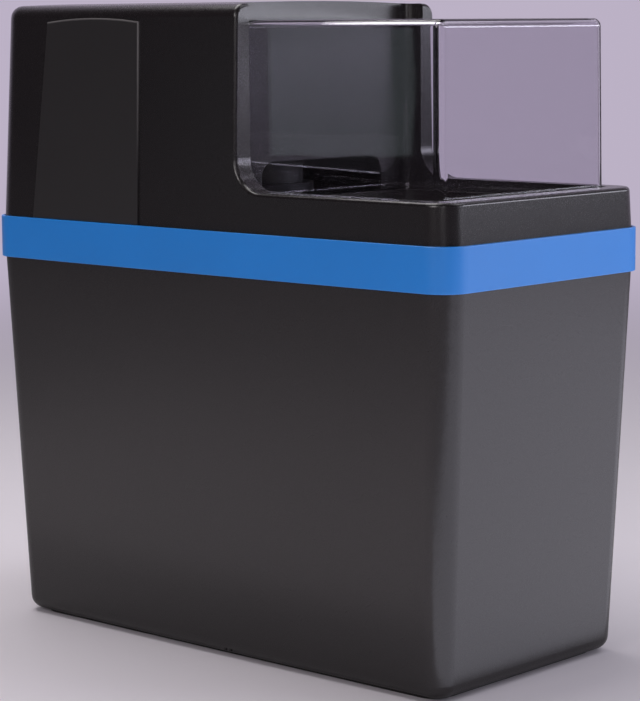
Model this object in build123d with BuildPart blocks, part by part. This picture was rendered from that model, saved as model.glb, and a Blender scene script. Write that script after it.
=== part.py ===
from build123d import *
import os
from math import acos, atan2, cos, degrees, pi, radians, sin, sqrt, tan

# Compact cabinet water softener: a tapered tub, a stepped cover with a clear salt lid, and twin resin
# cylinders under a valve that its own water meter turns through a gear train.
# Millimetres, +Z up. The origin is on the floor below the middle of the cabinet. X runs across the narrow
# width, Y along the depth, and the salt lid is at the front, -Y.

# Cabinet plan sizes: at the joint of tub and cover, and how much less at the floor and at the top
waist_length = 478.0
waist_width = 236.6
base_taper_length = 29.5
base_taper_width = 20.8
top_taper_length = 18.6
top_taper_width = 9.8
base_length = waist_length - base_taper_length
base_width = waist_width - base_taper_width
top_length = waist_length - top_taper_length
top_width = waist_width - top_taper_width
side_bow = 2.2
base_corner = 15.0
waist_corner = 20.0
top_corner = 19.0

# Cabinet heights and walls
total_height = 500.0
tub_height = 311.0
wall = 3.0
floor_thickness = 3.0
base_round = 11.0
foot_height = 2.0
foot_inset = 11.4
foot_rail = 8.0
foot_corner = 8.0

# Band round the joint
band_drop = 14.8
band_bottom = tub_height - band_drop
band_height = 33.3
band_proud = 2.5
band_gap = 0.3
band_rib = 2.0
band_rib_reach = 2.0
band_round = 0.8
joint_height = tub_height + band_rib

# Plan of the inside, from the back: two cylinders, the divider, and the step over the salt
cylinder_radius = 54.0
cylinder_pitch = 112.0
cylinder_setback = 136.0
cylinder_middle = waist_length / 2 - cylinder_setback
front_y = cylinder_middle - cylinder_pitch / 2
rear_y = cylinder_middle + cylinder_pitch / 2
divider_gap = 5.5
divider_y = front_y - cylinder_radius - divider_gap
step_setback = 23.5

# Cover: the step, its border and the recess that takes the lid
rim_rise = 46.5
rim_height = joint_height + rim_rise
step_y = divider_y - step_setback
step_radius = 25.0
cover_round = 10.0
edge_round = 3.0
crown = 2.5
border_side = 17.1
border_front = 16.2
recess_depth = 18.0
recess_corner = 9.0
recess_back = step_y + recess_depth
rim_to_deck = 9.5
deck_height = rim_height - rim_to_deck
mouth_ledge = 12.0
mouth_corner = 14.0
chute_depth = 24.0
slot_side = 31.0
slot_rise = 28.5
slot_top = deck_height + slot_rise
slot_corner = 12.0
lip_depth = 10.0
lip_thickness = 2.0
lip_gap = 0.4

# Side plate, placed from the cylinders' middle and the cabinet's top
plate_proud = 1.3
plate_front = cylinder_middle - 36.0
plate_back_top = cylinder_middle + 69.0
plate_back_bottom = cylinder_middle + 87.0
plate_drop = 15.0
plate_top = total_height - plate_drop
plate_arch = 3.0
plate_seat = 0.15
plate_round = 0.6

# Clear lid
lid_gap = 2.6
seat_gap = 0.3
lid_drop = 14.5
lid_height = total_height - lid_drop - deck_height - seat_gap
lid_wall = 3.0
lid_draft = 0.6
lid_back_draft = 0.9
lid_corner = 7.0
lid_round = 6.0

# Salt side of the tub
divider_thickness = 3.0
guide_thickness = 2.0
guide_depth = 3.0
panel_gap = 0.4
platform_height = 55.0
platform_thickness = 3.0
leg_radius = 6.0
salt_slot_width = 5.0
salt_slot_length = 34.0
salt_slot_pitch = 23.0
leg_span_x = 140.0
leg_span_y = 68.0
divider_headroom = 7.0
guide_headroom = 30.0
window_width = 34.0
window_height = 10.0
window_pitch = 62.0
rib_width = 3.0
rib_depth = 1.6

# Resin cylinders
cylinder_wall = 3.0
cylinder_rise = 23.0
cylinder_top = tub_height + cylinder_rise
shoulder_round = 18.0
cylinder_base_round = 10.0
neck_radius = 30.0
neck_wall = 4.0
flange_radius = 36.0
flange_thickness = 6.0
neck_height = 16.0
neck_top = cylinder_top + neck_height
ring_height = 7.0
ring_width = 2.5
resin_headroom = 110.7
riser_radius = 10.0
riser_wall = 2.0
strainer_radius = 18.0
strainer_height = 26.0
fit_gap = 0.2
clamp_wall = 4.0
clamp_lip = 2.0
riser_engagement = 6.0
strainer_slot = 3.0
strainer_slots = 12
spigot_depth = 10.0
seal_width = 2.4
lug_length = 9.0
lug_height = 10.0
lug_thickness = 3.0
lug_gap = 3.0
bolt_radius = 2.0

# Valve manifold and its ports
manifold_height = 40.0
manifold_top = neck_top + manifold_height
manifold_neck = 4.0
manifold_radius = 32.0
manifold_round = 3.0
bridge_width = 60.0
port_drop = 15.0
port_height = manifold_top - port_drop
port_spacing = 68.0
port_block_depth = 31.0
port_setback = 20.0
port_window_width = 124.0
port_window_bottom = port_height - 29.0
port_window_top = port_height + 27.0
port_window_corner = 10.0
thread_radius = 13.2
thread_length = 15.0
adaptor_bore = 7.5
socket_radius = 11.0
gallery_radius = 5.0
clip_radius = 1.5
clip_depth = 13.0
clip_bow = 4.0
port_circle = 15.0
port_hole = 3.5
port_count = 5
nipple_length = 10.0
drain_collar = 9.0
collar_radius = 17.0
collar_length = 6.0
socket_depth = 14.0
adaptor_seal_width = 2.4
screen_depth = 2.0
screen_bar = 1.0
drain_radius = 6.5
drain_bore = 4.0
turbine_chamber_radius = 16.0
turbine_chamber_depth = 23.0
shaft_seat = 3.0

# Gear train, from the turbine to the control disc
gear_module = 1.25
pinion_teeth = 12
wheel_teeth = 32
control_teeth = 48
pressure_angle = 20.0
backlash = 0.25
tooth_addendum = 0.8
tooth_dedendum = 1.15
gear_width = 6.0
layer_gap = 1.5
shaft_radius = 1.5
running_gap = 0.05
control_offset = 39.0
first_gear_angle = 30.0
control_boss_angles = (195, 255, 315)
first_boss_angles = (45, 115)
second_boss_angle = -20
case_wall = 3.0
case_floor = 3.0
case_clearance = 3.0
case_lid_thickness = 3.0
gasket_thickness = 1.0
screw_radius = 1.5
screw_length = 12.0
screw_head = 2.0
dial_width = 5.0
dial_mark = 1.6
dial_height = 1.2
spindle_flat = 1.5
flute_radius = 2.5
flute_count = 12
bush_flange = 1.5
boss_radius = 4.0
disc_radius = 24.0
disc_thickness = 4.0
port_disc_thickness = 2.0
hub_radius = 8.0
spindle_radius = 5.0
knob_radius = 14.0
knob_height = 15.0
rotor_radius = 14.0
rotor_height = 14.0
blade_thickness = 1.2
blade_count = 8

# Brine well, float and valve
well_side = 46.3
well_x = waist_width / 2 - well_side
well_radius = 24.5
well_wall = 2.0
well_rise = 11.0
well_top = tub_height + well_rise
float_radius = 12.0
float_offset = 6.0
pickup_offset = 12.0
pickup_clearance = 8.0
rod_engagement = 8.0
nose_radius = 7.0
hose_offset = 8.0
float_height = 42.0
float_low = 60.0
float_travel = 40.0
rod_radius = 2.5
pickup_radius = 4.0
pickup_wall = 1.0
brine_cap_thickness = 5.0
brine_body_height = 24.0
brine_body_width = 34.0
nose_length = 26.0
hose_radius = 5.0
hose_wall = 1.5
hose_bend = 13.0

# Overflow hole in the rear wall of the tub
overflow_x = 62.0
overflow_drop = 43.0
overflow_height = tub_height - overflow_drop
overflow_radius = 9.5
grommet_wall = 2.5
grommet_lip = 2.0

floor_top = foot_height + floor_thickness

os.makedirs("parts", exist_ok=True)


def save(piece, label):
    """Names a finished piece and writes it to its own file."""
    piece.part.label = label
    export_step(piece.part, f"parts/{label}.step")


def plan_outline(height, length, width, corner):
    """Plan of the cabinet at one height: bowed long sides, straight ends and round corners."""
    half_x, half_y = width / 2 - side_bow, length / 2
    with BuildSketch(Plane.XY.offset(height)) as outline:
        with BuildLine():
            ThreePointArc((half_x, -half_y), (half_x + side_bow, 0), (half_x, half_y))
            Line((half_x, half_y), (-half_x, half_y))
            ThreePointArc((-half_x, half_y), (-half_x - side_bow, 0), (-half_x, -half_y))
            Line((-half_x, -half_y), (half_x, -half_y))
        make_face()
        fillet(outline.vertices(), corner)
    return outline.sketch


def between(low, high, share):
    """A size part of the way from low to high."""
    return low + (high - low) * share


def tub_outline(height, inset=0.0):
    """Plan of the tub's tapered wall at a height, moved inwards by inset."""
    share = height / tub_height
    length = between(base_length, waist_length, share)
    width = between(base_width, waist_width, share)
    return plan_outline(height, length - 2 * inset, width - 2 * inset,
                        between(base_corner, waist_corner, share) - inset)


def tub_half_width(height):
    """Half the outside width of the tub at a height, at the middle of its long side."""
    return between(base_width, waist_width, height / tub_height) / 2


def tub_half_length(height):
    """Half the outside length of the tub at a height."""
    return between(base_length, waist_length, height / tub_height) / 2


def cover_outline(height, inset=0.0):
    """Plan of the cover's tapered wall at a height, moved inwards by inset."""
    share = (height - joint_height) / (total_height - joint_height)
    length = between(waist_length, top_length, share)
    width = between(waist_width, top_width, share)
    return plan_outline(height, length - 2 * inset, width - 2 * inset,
                        between(waist_corner, top_corner, share) - inset)


def cover_half_length(height):
    """Half the outside length of the cover at a height."""
    share = (height - joint_height) / (total_height - joint_height)
    return between(waist_length, top_length, share) / 2


def cover_half_width(height):
    """Half the outside width of the cover at a height."""
    share = (height - joint_height) / (total_height - joint_height)
    return between(waist_width, top_width, share) / 2


recess_width = 2 * (cover_half_width(rim_height) - border_side)
recess_front = border_front - cover_half_length(rim_height)
slot_width = recess_width - 2 * slot_side

# Plane on the outside of the sloping rear wall, at the overflow
wall_slope = (waist_length - base_length) / 2 / tub_height
overflow_plane = Plane(origin=(overflow_x, tub_half_length(overflow_height), overflow_height),
                       x_dir=(1, 0, 0), z_dir=(0, 1, -wall_slope))

# Cabinet tub: a moulded tub that narrows towards the floor, on a low foot rail
with BuildPart() as tub_cavity:
    loft([tub_outline(floor_top, wall), tub_outline(tub_height + 1, wall)])
    fillet(tub_cavity.edges().group_by(Axis.Z)[0], base_round - wall)

with BuildPart() as cabinet_tub:
    loft([tub_outline(foot_height), tub_outline(tub_height)])
    fillet(cabinet_tub.edges().group_by(Axis.Z)[0], base_round)
    with BuildSketch() as foot:
        RectangleRounded(base_width - 2 * foot_inset, base_length - 2 * foot_inset, foot_corner + foot_rail)
        RectangleRounded(base_width - 2 * (foot_inset + foot_rail),
                         base_length - 2 * (foot_inset + foot_rail), foot_corner, mode=Mode.SUBTRACT)
        Rectangle(base_width - 2 * foot_inset - foot_rail, foot_rail)
        Rectangle(foot_rail, base_length - 2 * foot_inset - foot_rail)
    extrude(amount=foot_height)
    add(tub_cavity.part, mode=Mode.SUBTRACT)
    # Rings that hold the cylinders on the floor
    with BuildSketch(Plane.XY.offset(floor_top)) as rings:
        with Locations((0, front_y), (0, rear_y)):
            Circle(cylinder_radius + fit_gap + ring_width)
        with Locations((0, front_y), (0, rear_y)):
            Circle(cylinder_radius + fit_gap, mode=Mode.SUBTRACT)
    extrude(amount=ring_height)
    # Upright guides on both side walls for the divider
    for side in (-1, 1):
        for place in (-1, 1):
            guide_y = divider_y + place * (divider_thickness / 2 + seat_gap + guide_thickness / 2)
            low = tub_half_width(floor_top) - wall
            high = tub_half_width(tub_height - guide_headroom) - wall
            with BuildSketch(Plane.XZ.offset(-guide_y)):
                with BuildLine():
                    Polyline((side * (low - guide_depth), floor_top), (side * (low + wall / 2), floor_top),
                             (side * (high + wall / 2), tub_height - guide_headroom),
                             (side * (high - guide_depth), tub_height - guide_headroom), close=True)
                make_face()
            extrude(amount=guide_thickness / 2, both=True)
    # Hole for the overflow, square to the sloping rear wall
    with BuildSketch(overflow_plane.offset(wall)):
        Circle(overflow_radius + grommet_wall + running_gap)
    extrude(amount=-4 * wall, mode=Mode.SUBTRACT)
save(cabinet_tub, "cabinet_tub")

# Band: wraps the joint, with an inner rib that lies between the rims of tub and cover
with BuildPart() as trim_band:
    add(plan_outline(band_bottom, waist_length + 2 * band_proud, waist_width + 2 * band_proud,
                     waist_corner + band_proud))
    extrude(amount=band_height)
    fillet(trim_band.edges().group_by(Axis.Z)[-1] + trim_band.edges().group_by(Axis.Z)[0], band_round)
    add(plan_outline(band_bottom, waist_length + 2 * band_gap, waist_width + 2 * band_gap,
                     waist_corner + band_gap))
    extrude(amount=band_height, mode=Mode.SUBTRACT)
    with BuildSketch(Plane.XY.offset(tub_height)) as rib:
        add(plan_outline(tub_height, waist_length + 2 * band_gap + 1, waist_width + 2 * band_gap + 1,
                         waist_corner + band_gap))
        add(plan_outline(tub_height, waist_length - 2 * band_rib_reach, waist_width - 2 * band_rib_reach,
                         waist_corner - band_rib_reach), mode=Mode.SUBTRACT)
    extrude(amount=band_rib)
save(trim_band, "trim_band")


def top_profile(drop):
    """Section across X whose top is the cover's crowned top, lowered by drop."""
    half_x, top = waist_width, total_height - drop
    sag = crown * (half_x / (top_width / 2)) ** 2
    with BuildSketch(Plane.XZ.offset(-waist_length)) as profile:
        with BuildLine():
            ThreePointArc((-half_x, top - sag), (0, top), (half_x, top - sag))
            Line((half_x, top - sag), (half_x, 0))
            Line((half_x, 0), (-half_x, 0))
            Line((-half_x, 0), (-half_x, top - sag))
        make_face()
    return profile.sketch


def step_profile(inset):
    """Side view of what the step takes away from the cover, its inner corner rounded."""
    with BuildSketch(Plane.YZ.offset(-waist_width)) as profile:
        with BuildLine():
            Polyline((-waist_length, rim_height - inset), (step_y + inset, rim_height - inset),
                     (step_y + inset, 2 * total_height), (-waist_length, 2 * total_height), close=True)
        make_face()
        fillet(profile.vertices().sort_by(Axis.X)[-2:].sort_by(Axis.Y)[0], step_radius + inset)
    return profile.sketch


def on_step(edge):
    """True for an outer edge of the step, but not for a seam at the end of its round inner corner."""
    middle = edge @ 0.5
    level = abs(middle.Z - rim_height) < 0.01
    upright = abs(middle.Y - step_y) < 0.01
    if abs(edge.tangent_at(0.5).X) > 0.99:
        return (level and middle.Y < recess_front) or (upright and middle.Z > rim_height + 2 * step_radius)
    reach = Vector(0, middle.Y - step_y + step_radius, middle.Z - rim_height - step_radius).length
    on_round = middle.Y > step_y - step_radius and middle.Z < rim_height + step_radius
    return level or upright or (on_round and abs(reach - step_radius) < 0.01)


def recess_block(grow):
    """The recess that takes the lid, grown by a wall where the cover's own wall round it is wanted."""
    width = recess_width + 2 * grow
    length = recess_back - recess_front + 2 * grow
    with BuildSketch(Plane.XY.offset(deck_height - grow)) as plan:
        with Locations((0, (recess_back + recess_front) / 2)):
            Rectangle(width, length)
        fillet(plan.vertices(), recess_corner + grow)
    with BuildPart() as block:
        add(plan.sketch)
        extrude(amount=total_height)
    return block.part


mouth_width = recess_width - 2 * mouth_ledge
mouth_front = recess_front + mouth_ledge
mouth_back = recess_back - mouth_ledge

# Cover: one shell with a high rear part over the valve and a low rim round the salt opening
with BuildPart() as cover_cavity:
    loft([cover_outline(joint_height - 1, wall), cover_outline(total_height + 1, wall)])
    extrude(top_profile(wall), amount=2 * waist_length, mode=Mode.INTERSECT)
    fillet(cover_cavity.faces().sort_by(Axis.Z)[-1].edges(), cover_round - wall)
    extrude(step_profile(wall), amount=2 * waist_width, mode=Mode.SUBTRACT)
    add(recess_block(wall), mode=Mode.SUBTRACT)
    # The chute below the deck keeps its own wall
    with BuildSketch(Plane.XY.offset(deck_height - wall - chute_depth)) as chute:
        with Locations((0, (mouth_front + mouth_back) / 2)):
            RectangleRounded(mouth_width + 2 * wall, mouth_back - mouth_front + 2 * wall, mouth_corner + wall)
    extrude(amount=chute_depth + 1, mode=Mode.SUBTRACT)

with BuildPart() as top_cover:
    loft([cover_outline(joint_height), cover_outline(total_height + 1)])
    extrude(top_profile(0), amount=2 * waist_length, mode=Mode.INTERSECT)
    fillet(top_cover.faces().sort_by(Axis.Z)[-1].edges(), cover_round)
    extrude(step_profile(0), amount=2 * waist_width, mode=Mode.SUBTRACT)
    fillet(top_cover.edges().filter_by(on_step), edge_round)
    add(cover_cavity.part, mode=Mode.SUBTRACT)
    add(recess_block(0), mode=Mode.SUBTRACT)
    # Salt mouth through the deck and its chute
    with BuildSketch(Plane.XY.offset(deck_height)) as mouth:
        with Locations((0, (mouth_front + mouth_back) / 2)):
            RectangleRounded(mouth_width, mouth_back - mouth_front, mouth_corner)
    extrude(amount=-(wall + chute_depth), mode=Mode.SUBTRACT)
    # Slot in the recess wall above the deck, open to the valve space
    with BuildSketch(Plane.XZ.offset(-recess_back)) as slot:
        with BuildLine():
            Polyline((-slot_width / 2, deck_height), (-slot_width / 2, slot_top), (slot_width / 2, slot_top),
                     (slot_width / 2, deck_height), close=True)
        make_face()
        fillet(slot.vertices().group_by(Axis.Y)[-1], slot_corner)
    extrude(amount=-wall, mode=Mode.SUBTRACT)
    # Window in the rear wall for the hoses
    with BuildSketch(Plane.XZ.offset(-waist_length / 2)) as window:
        with Locations((0, (port_window_bottom + port_window_top) / 2)):
            RectangleRounded(port_window_width, port_window_top - port_window_bottom, port_window_corner)
    extrude(amount=waist_length / 4, mode=Mode.SUBTRACT)
    # Lip that locates the cover inside the tub
    inner = wall + lip_gap
    with BuildPart(mode=Mode.PRIVATE) as lip:
        loft([tub_outline(joint_height - lip_depth - band_rib, inner), tub_outline(joint_height, inner)])
        loft([tub_outline(joint_height - lip_depth - band_rib, inner + lip_thickness),
              tub_outline(joint_height, inner + lip_thickness)], mode=Mode.SUBTRACT)
        add(plan_outline(joint_height, waist_length - wall, waist_width - wall, waist_corner - wall / 2))
        extrude(amount=lip_thickness)
        add(plan_outline(joint_height, waist_length - 2 * (inner + lip_thickness),
                         waist_width - 2 * (inner + lip_thickness), waist_corner - inner - lip_thickness))
        extrude(amount=lip_thickness, mode=Mode.SUBTRACT)
    add(lip.part)
save(top_cover, "top_cover")

# Side plate: a thin moulded plate laid on the curved side of the cover, bare
with BuildPart() as side_plate:
    loft([cover_outline(joint_height, -plate_proud), cover_outline(total_height, -plate_proud)])
    with BuildSketch(Plane.YZ.offset(-waist_width)):
        with BuildLine():
            plate_bottom = band_bottom + band_height + seat_gap
            plate_middle = (plate_front + plate_back_top) / 2
            ThreePointArc((plate_front, plate_top), (plate_middle, plate_top + plate_arch),
                          (plate_back_top, plate_top))
            Polyline((plate_back_top, plate_top), (plate_back_bottom, plate_bottom),
                     (plate_front, plate_bottom), (plate_front, plate_top))
        make_face()
    extrude(amount=waist_width, mode=Mode.INTERSECT)
    fillet(side_plate.edges().group_by(Axis.X)[0], plate_round)
    loft([cover_outline(joint_height, -plate_seat), cover_outline(total_height, -plate_seat)],
         mode=Mode.SUBTRACT)
save(side_plate, "side_plate")


def lid_outline(height, inset=0.0):
    """Plan of the lid's drafted wall at a height above the deck."""
    lean = (height - seat_gap) * tan(radians(lid_draft))
    back_lean = (height - seat_gap) * tan(radians(lid_back_draft))
    half_x = recess_width / 2 - lid_gap - lean - inset
    front = recess_front + lid_gap + lean + inset
    back = recess_back - lid_gap - back_lean - inset
    with BuildSketch(Plane.XY.offset(deck_height + height)) as outline:
        with Locations((0, (front + back) / 2)):
            RectangleRounded(2 * half_x, back - front, lid_corner - inset)
    return outline.sketch


# Clear lid: a drafted box, open below, that stands in the recess and lifts off
with BuildPart() as clear_lid:
    loft([lid_outline(seat_gap), lid_outline(seat_gap + lid_height)])
    fillet(clear_lid.edges().group_by(Axis.Z)[-1], lid_round)
    with BuildPart(mode=Mode.PRIVATE) as lid_hollow:
        loft([lid_outline(seat_gap - 1, lid_wall), lid_outline(seat_gap + lid_height - lid_wall, lid_wall)])
        fillet(lid_hollow.edges().group_by(Axis.Z)[-1], lid_round - lid_wall)
    add(lid_hollow.part, mode=Mode.SUBTRACT)
save(clear_lid, "clear_lid")


# Divider between the salt and the cylinders: slides down between the tub's guides
divider_top = deck_height - wall - divider_headroom
guide_top = tub_height - guide_headroom
with BuildPart() as divider_panel:
    low = tub_half_width(floor_top) - wall - panel_gap - base_round + wall
    shoulder = tub_half_width(floor_top + base_round) - wall - panel_gap
    high = tub_half_width(guide_top) - wall - panel_gap
    neck = high - lip_gap - lip_thickness - panel_gap - 1
    with BuildSketch(Plane.XZ.offset(-divider_y)) as sheet:
        with BuildLine() as edge:
            Polyline((0, floor_top), (low, floor_top), (shoulder, floor_top + base_round), (high, guide_top),
                     (neck, guide_top), (neck, divider_top), (0, divider_top))
            mirror(about=Plane.YZ)
        make_face()
        # Windows that let brine through at the foot
        with GridLocations(window_pitch, 0, 3, 1):
            with Locations((0, floor_top + 2 * window_height)):
                Rectangle(window_width, window_height, mode=Mode.SUBTRACT)
    extrude(amount=divider_thickness / 2, both=True)
    # Stiffening ribs on the salt side
    with BuildSketch(Plane.XZ.offset(-divider_y + divider_thickness / 2)):
        with GridLocations(window_pitch, 0, 3, 1):
            with Locations((0, (platform_height + guide_top) / 2)):
                Rectangle(rib_width, guide_top - platform_height - 2 * rib_width)
    extrude(amount=rib_depth)
save(divider_panel, "divider_panel")

# Salt platform: a slotted plate on legs that keeps the salt blocks above the floor
platform_back = divider_y - divider_thickness / 2 - seat_gap - guide_thickness - panel_gap
with BuildPart() as salt_platform:
    platform_inset = wall + panel_gap + 2 * seat_gap
    with BuildSketch(Plane.XY.offset(platform_height - platform_thickness)) as plate:
        add(tub_outline(platform_height - platform_thickness, platform_inset))
        with Locations((0, platform_back - base_length / 2)):
            Rectangle(base_width, base_length, mode=Mode.INTERSECT)
        fillet(plate.vertices().group_by(Axis.Y)[-1], 2 * platform_thickness)
        with Locations((0, platform_back / 2 - base_length / 4)):
            with GridLocations(salt_slot_pitch, salt_slot_length + 3 * salt_slot_width, 8, 4):
                Rectangle(salt_slot_width, salt_slot_length, mode=Mode.SUBTRACT)
    extrude(amount=platform_thickness)
    with BuildSketch(Plane.XY.offset(floor_top)):
        with Locations((0, platform_back / 2 - base_length / 4)):
            with GridLocations(leg_span_x, leg_span_y, 2, 3):
                Circle(leg_radius)
    extrude(amount=platform_height - platform_thickness / 2 - floor_top)
save(salt_platform, "salt_platform")


def corner_near(sketch, x, y):
    """The sketch corner that lies nearest to a point."""
    return sketch.vertices().sort_by_distance((x, y, 0))[0]


def upright_plane(y):
    """Plane that faces forwards through an upright axis at x = 0 and the given y."""
    return Plane(origin=(0, y, 0), x_dir=(1, 0, 0), z_dir=(0, -1, 0))


# Resin cylinders: moulded vessels with a flanged neck, on the tub's floor
neck_bore = neck_radius - neck_wall
flange_bottom = neck_top - flange_thickness
bed_floor = floor_top + cylinder_wall + seat_gap
bed_top = cylinder_top - resin_headroom
for label, y in (("front_cylinder", front_y), ("rear_cylinder", rear_y)):
    with BuildPart() as vessel:
        with BuildSketch(upright_plane(y)) as profile:
            with BuildLine():
                inner_radius = cylinder_radius - cylinder_wall
                Polyline((0, floor_top), (cylinder_radius, floor_top), (cylinder_radius, cylinder_top),
                         (neck_radius, cylinder_top), (neck_radius, flange_bottom),
                         (flange_radius, flange_bottom), (flange_radius, neck_top), (neck_bore, neck_top),
                         (neck_bore, cylinder_top - cylinder_wall),
                         (inner_radius, cylinder_top - cylinder_wall),
                         (inner_radius, floor_top + cylinder_wall), (0, floor_top + cylinder_wall),
                         close=True)
            make_face()
            fillet(corner_near(profile, cylinder_radius, floor_top), cylinder_base_round)
            fillet(corner_near(profile, cylinder_radius, cylinder_top), shoulder_round)
            fillet(corner_near(profile, inner_radius, cylinder_top - cylinder_wall),
                   shoulder_round - cylinder_wall)
            fillet(corner_near(profile, inner_radius, floor_top + cylinder_wall),
                   cylinder_base_round - cylinder_wall)
        revolve(axis=Axis((0, y, 0), (0, 0, 1)))
    save(vessel, label)

# Resin beds: the softening beads, which fill each cylinder round its riser and strainer
strainer_top = bed_floor + strainer_height
for label, y in (("front_resin_bed", front_y), ("rear_resin_bed", rear_y)):
    with BuildPart() as bed:
        with BuildSketch(upright_plane(y)) as profile:
            with BuildLine():
                bed_radius = cylinder_radius - cylinder_wall - seat_gap
                hole_radius = strainer_radius + seat_gap
                Polyline((hole_radius, bed_floor), (bed_radius, bed_floor), (bed_radius, bed_top),
                         (riser_radius + seat_gap, bed_top),
                         (riser_radius + seat_gap, strainer_top + seat_gap),
                         (hole_radius, strainer_top + seat_gap), close=True)
            make_face()
            fillet(corner_near(profile, bed_radius, bed_floor), cylinder_base_round - cylinder_wall)
        revolve(axis=Axis((0, y, 0), (0, 0, 1)))
    save(bed, label)

# Riser tubes: stand on the lower strainers and reach up into the manifold's sockets
riser_top = neck_top + flange_thickness + riser_engagement
neck_places = [(0, front_y), (0, rear_y)]
with BuildPart() as riser_tubes:
    with BuildSketch(Plane.XY.offset(strainer_top)):
        with Locations(*neck_places):
            Circle(riser_radius)
        with Locations(*neck_places):
            Circle(riser_radius - riser_wall, mode=Mode.SUBTRACT)
    extrude(amount=riser_top - strainer_top)
save(riser_tubes, "riser_tubes")

# Lower strainers: slotted cups at the foot of each riser
with BuildPart() as lower_strainers:
    with BuildSketch(Plane.XY.offset(bed_floor)):
        with Locations(*neck_places):
            Circle(strainer_radius)
    extrude(amount=strainer_height)
    with BuildSketch(Plane.XY.offset(bed_floor + strainer_slot)):
        for place in neck_places:
            with Locations(place):
                with PolarLocations(strainer_radius, strainer_slots):
                    Rectangle(2 * strainer_slot, strainer_slot, mode=Mode.ADD)
    extrude(amount=strainer_height - 2 * strainer_slot, mode=Mode.SUBTRACT)
save(lower_strainers, "lower_strainers")

# Upper strainers: slotted discs under the manifold's spigots, round each riser
spigot_radius = neck_bore - seat_gap - fit_gap
spigot_bottom = neck_top - spigot_depth
with BuildPart() as upper_strainers:
    with BuildSketch(Plane.XY.offset(spigot_bottom - strainer_slot)):
        for place in neck_places:
            with Locations(place):
                Circle(spigot_radius)
                Circle(riser_radius + fit_gap, mode=Mode.SUBTRACT)
                with PolarLocations((spigot_radius + riser_radius) / 2, strainer_slots):
                    Rectangle((spigot_radius - riser_radius) / 2, strainer_slot / 2, mode=Mode.SUBTRACT)
    extrude(amount=strainer_slot)
save(upper_strainers, "upper_strainers")

# Neck seals: rubber rings in the manifold's flange grooves
seal_middle = (neck_bore + flange_radius) / 2
with BuildPart() as neck_seals:
    with BuildSketch(Plane.XY.offset(neck_top)):
        for place in neck_places:
            with Locations(place):
                Circle(seal_middle + seal_width / 2)
                Circle(seal_middle - seal_width / 2, mode=Mode.SUBTRACT)
    extrude(amount=seal_width - fit_gap)
save(neck_seals, "neck_seals")

# Neck clamps: steel channels round each pair of flanges, with a lug and bolt on each side
flange_pair_top = neck_top + flange_thickness
clamp_radius = flange_radius + seat_gap + clamp_wall
lug_x = clamp_radius + lug_length / 2
for label, y in (("front_neck_clamp", front_y), ("rear_neck_clamp", rear_y)):
    with BuildPart() as clamp:
        with BuildSketch(upright_plane(y)):
            with BuildLine():
                inside = flange_radius + seat_gap
                lip_reach = manifold_radius + seat_gap
                low, high = flange_bottom - seat_gap, flange_pair_top + seat_gap
                Polyline((lip_reach, low - clamp_lip), (clamp_radius, low - clamp_lip),
                         (clamp_radius, high + clamp_lip), (lip_reach, high + clamp_lip), (lip_reach, high),
                         (inside, high), (inside, low), (lip_reach, low), close=True)
            make_face()
        revolve(axis=Axis((0, y, 0), (0, 0, 1)))
        with Locations((0, y, neck_top)):
            with GridLocations(2 * lug_x, lug_gap + lug_thickness, 2, 2):
                Box(lug_length + clamp_wall, lug_thickness, lug_height)
        with Locations((0, y, neck_top)):
            with GridLocations(2 * lug_x, 0, 2, 1):
                Cylinder(bolt_radius + fit_gap, 4 * lug_length, rotation=(90, 0, 0), mode=Mode.SUBTRACT)
    save(clamp, label)

with BuildPart() as clamp_bolts:
    for place in neck_places:
        with Locations((0, place[1], neck_top)):
            with GridLocations(2 * lug_x, 0, 2, 1):
                Cylinder(bolt_radius, lug_gap + 2 * lug_thickness + 2 * bolt_radius, rotation=(90, 0, 0))
        for end in (-1, 1):
            head_y = place[1] + end * (lug_gap / 2 + lug_thickness + bolt_radius / 2)
            with Locations((0, head_y, neck_top)):
                with GridLocations(2 * lug_x, 0, 2, 1):
                    Cylinder(2 * bolt_radius, bolt_radius, rotation=(90, 0, 0))
save(clamp_bolts, "clamp_bolts")

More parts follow.
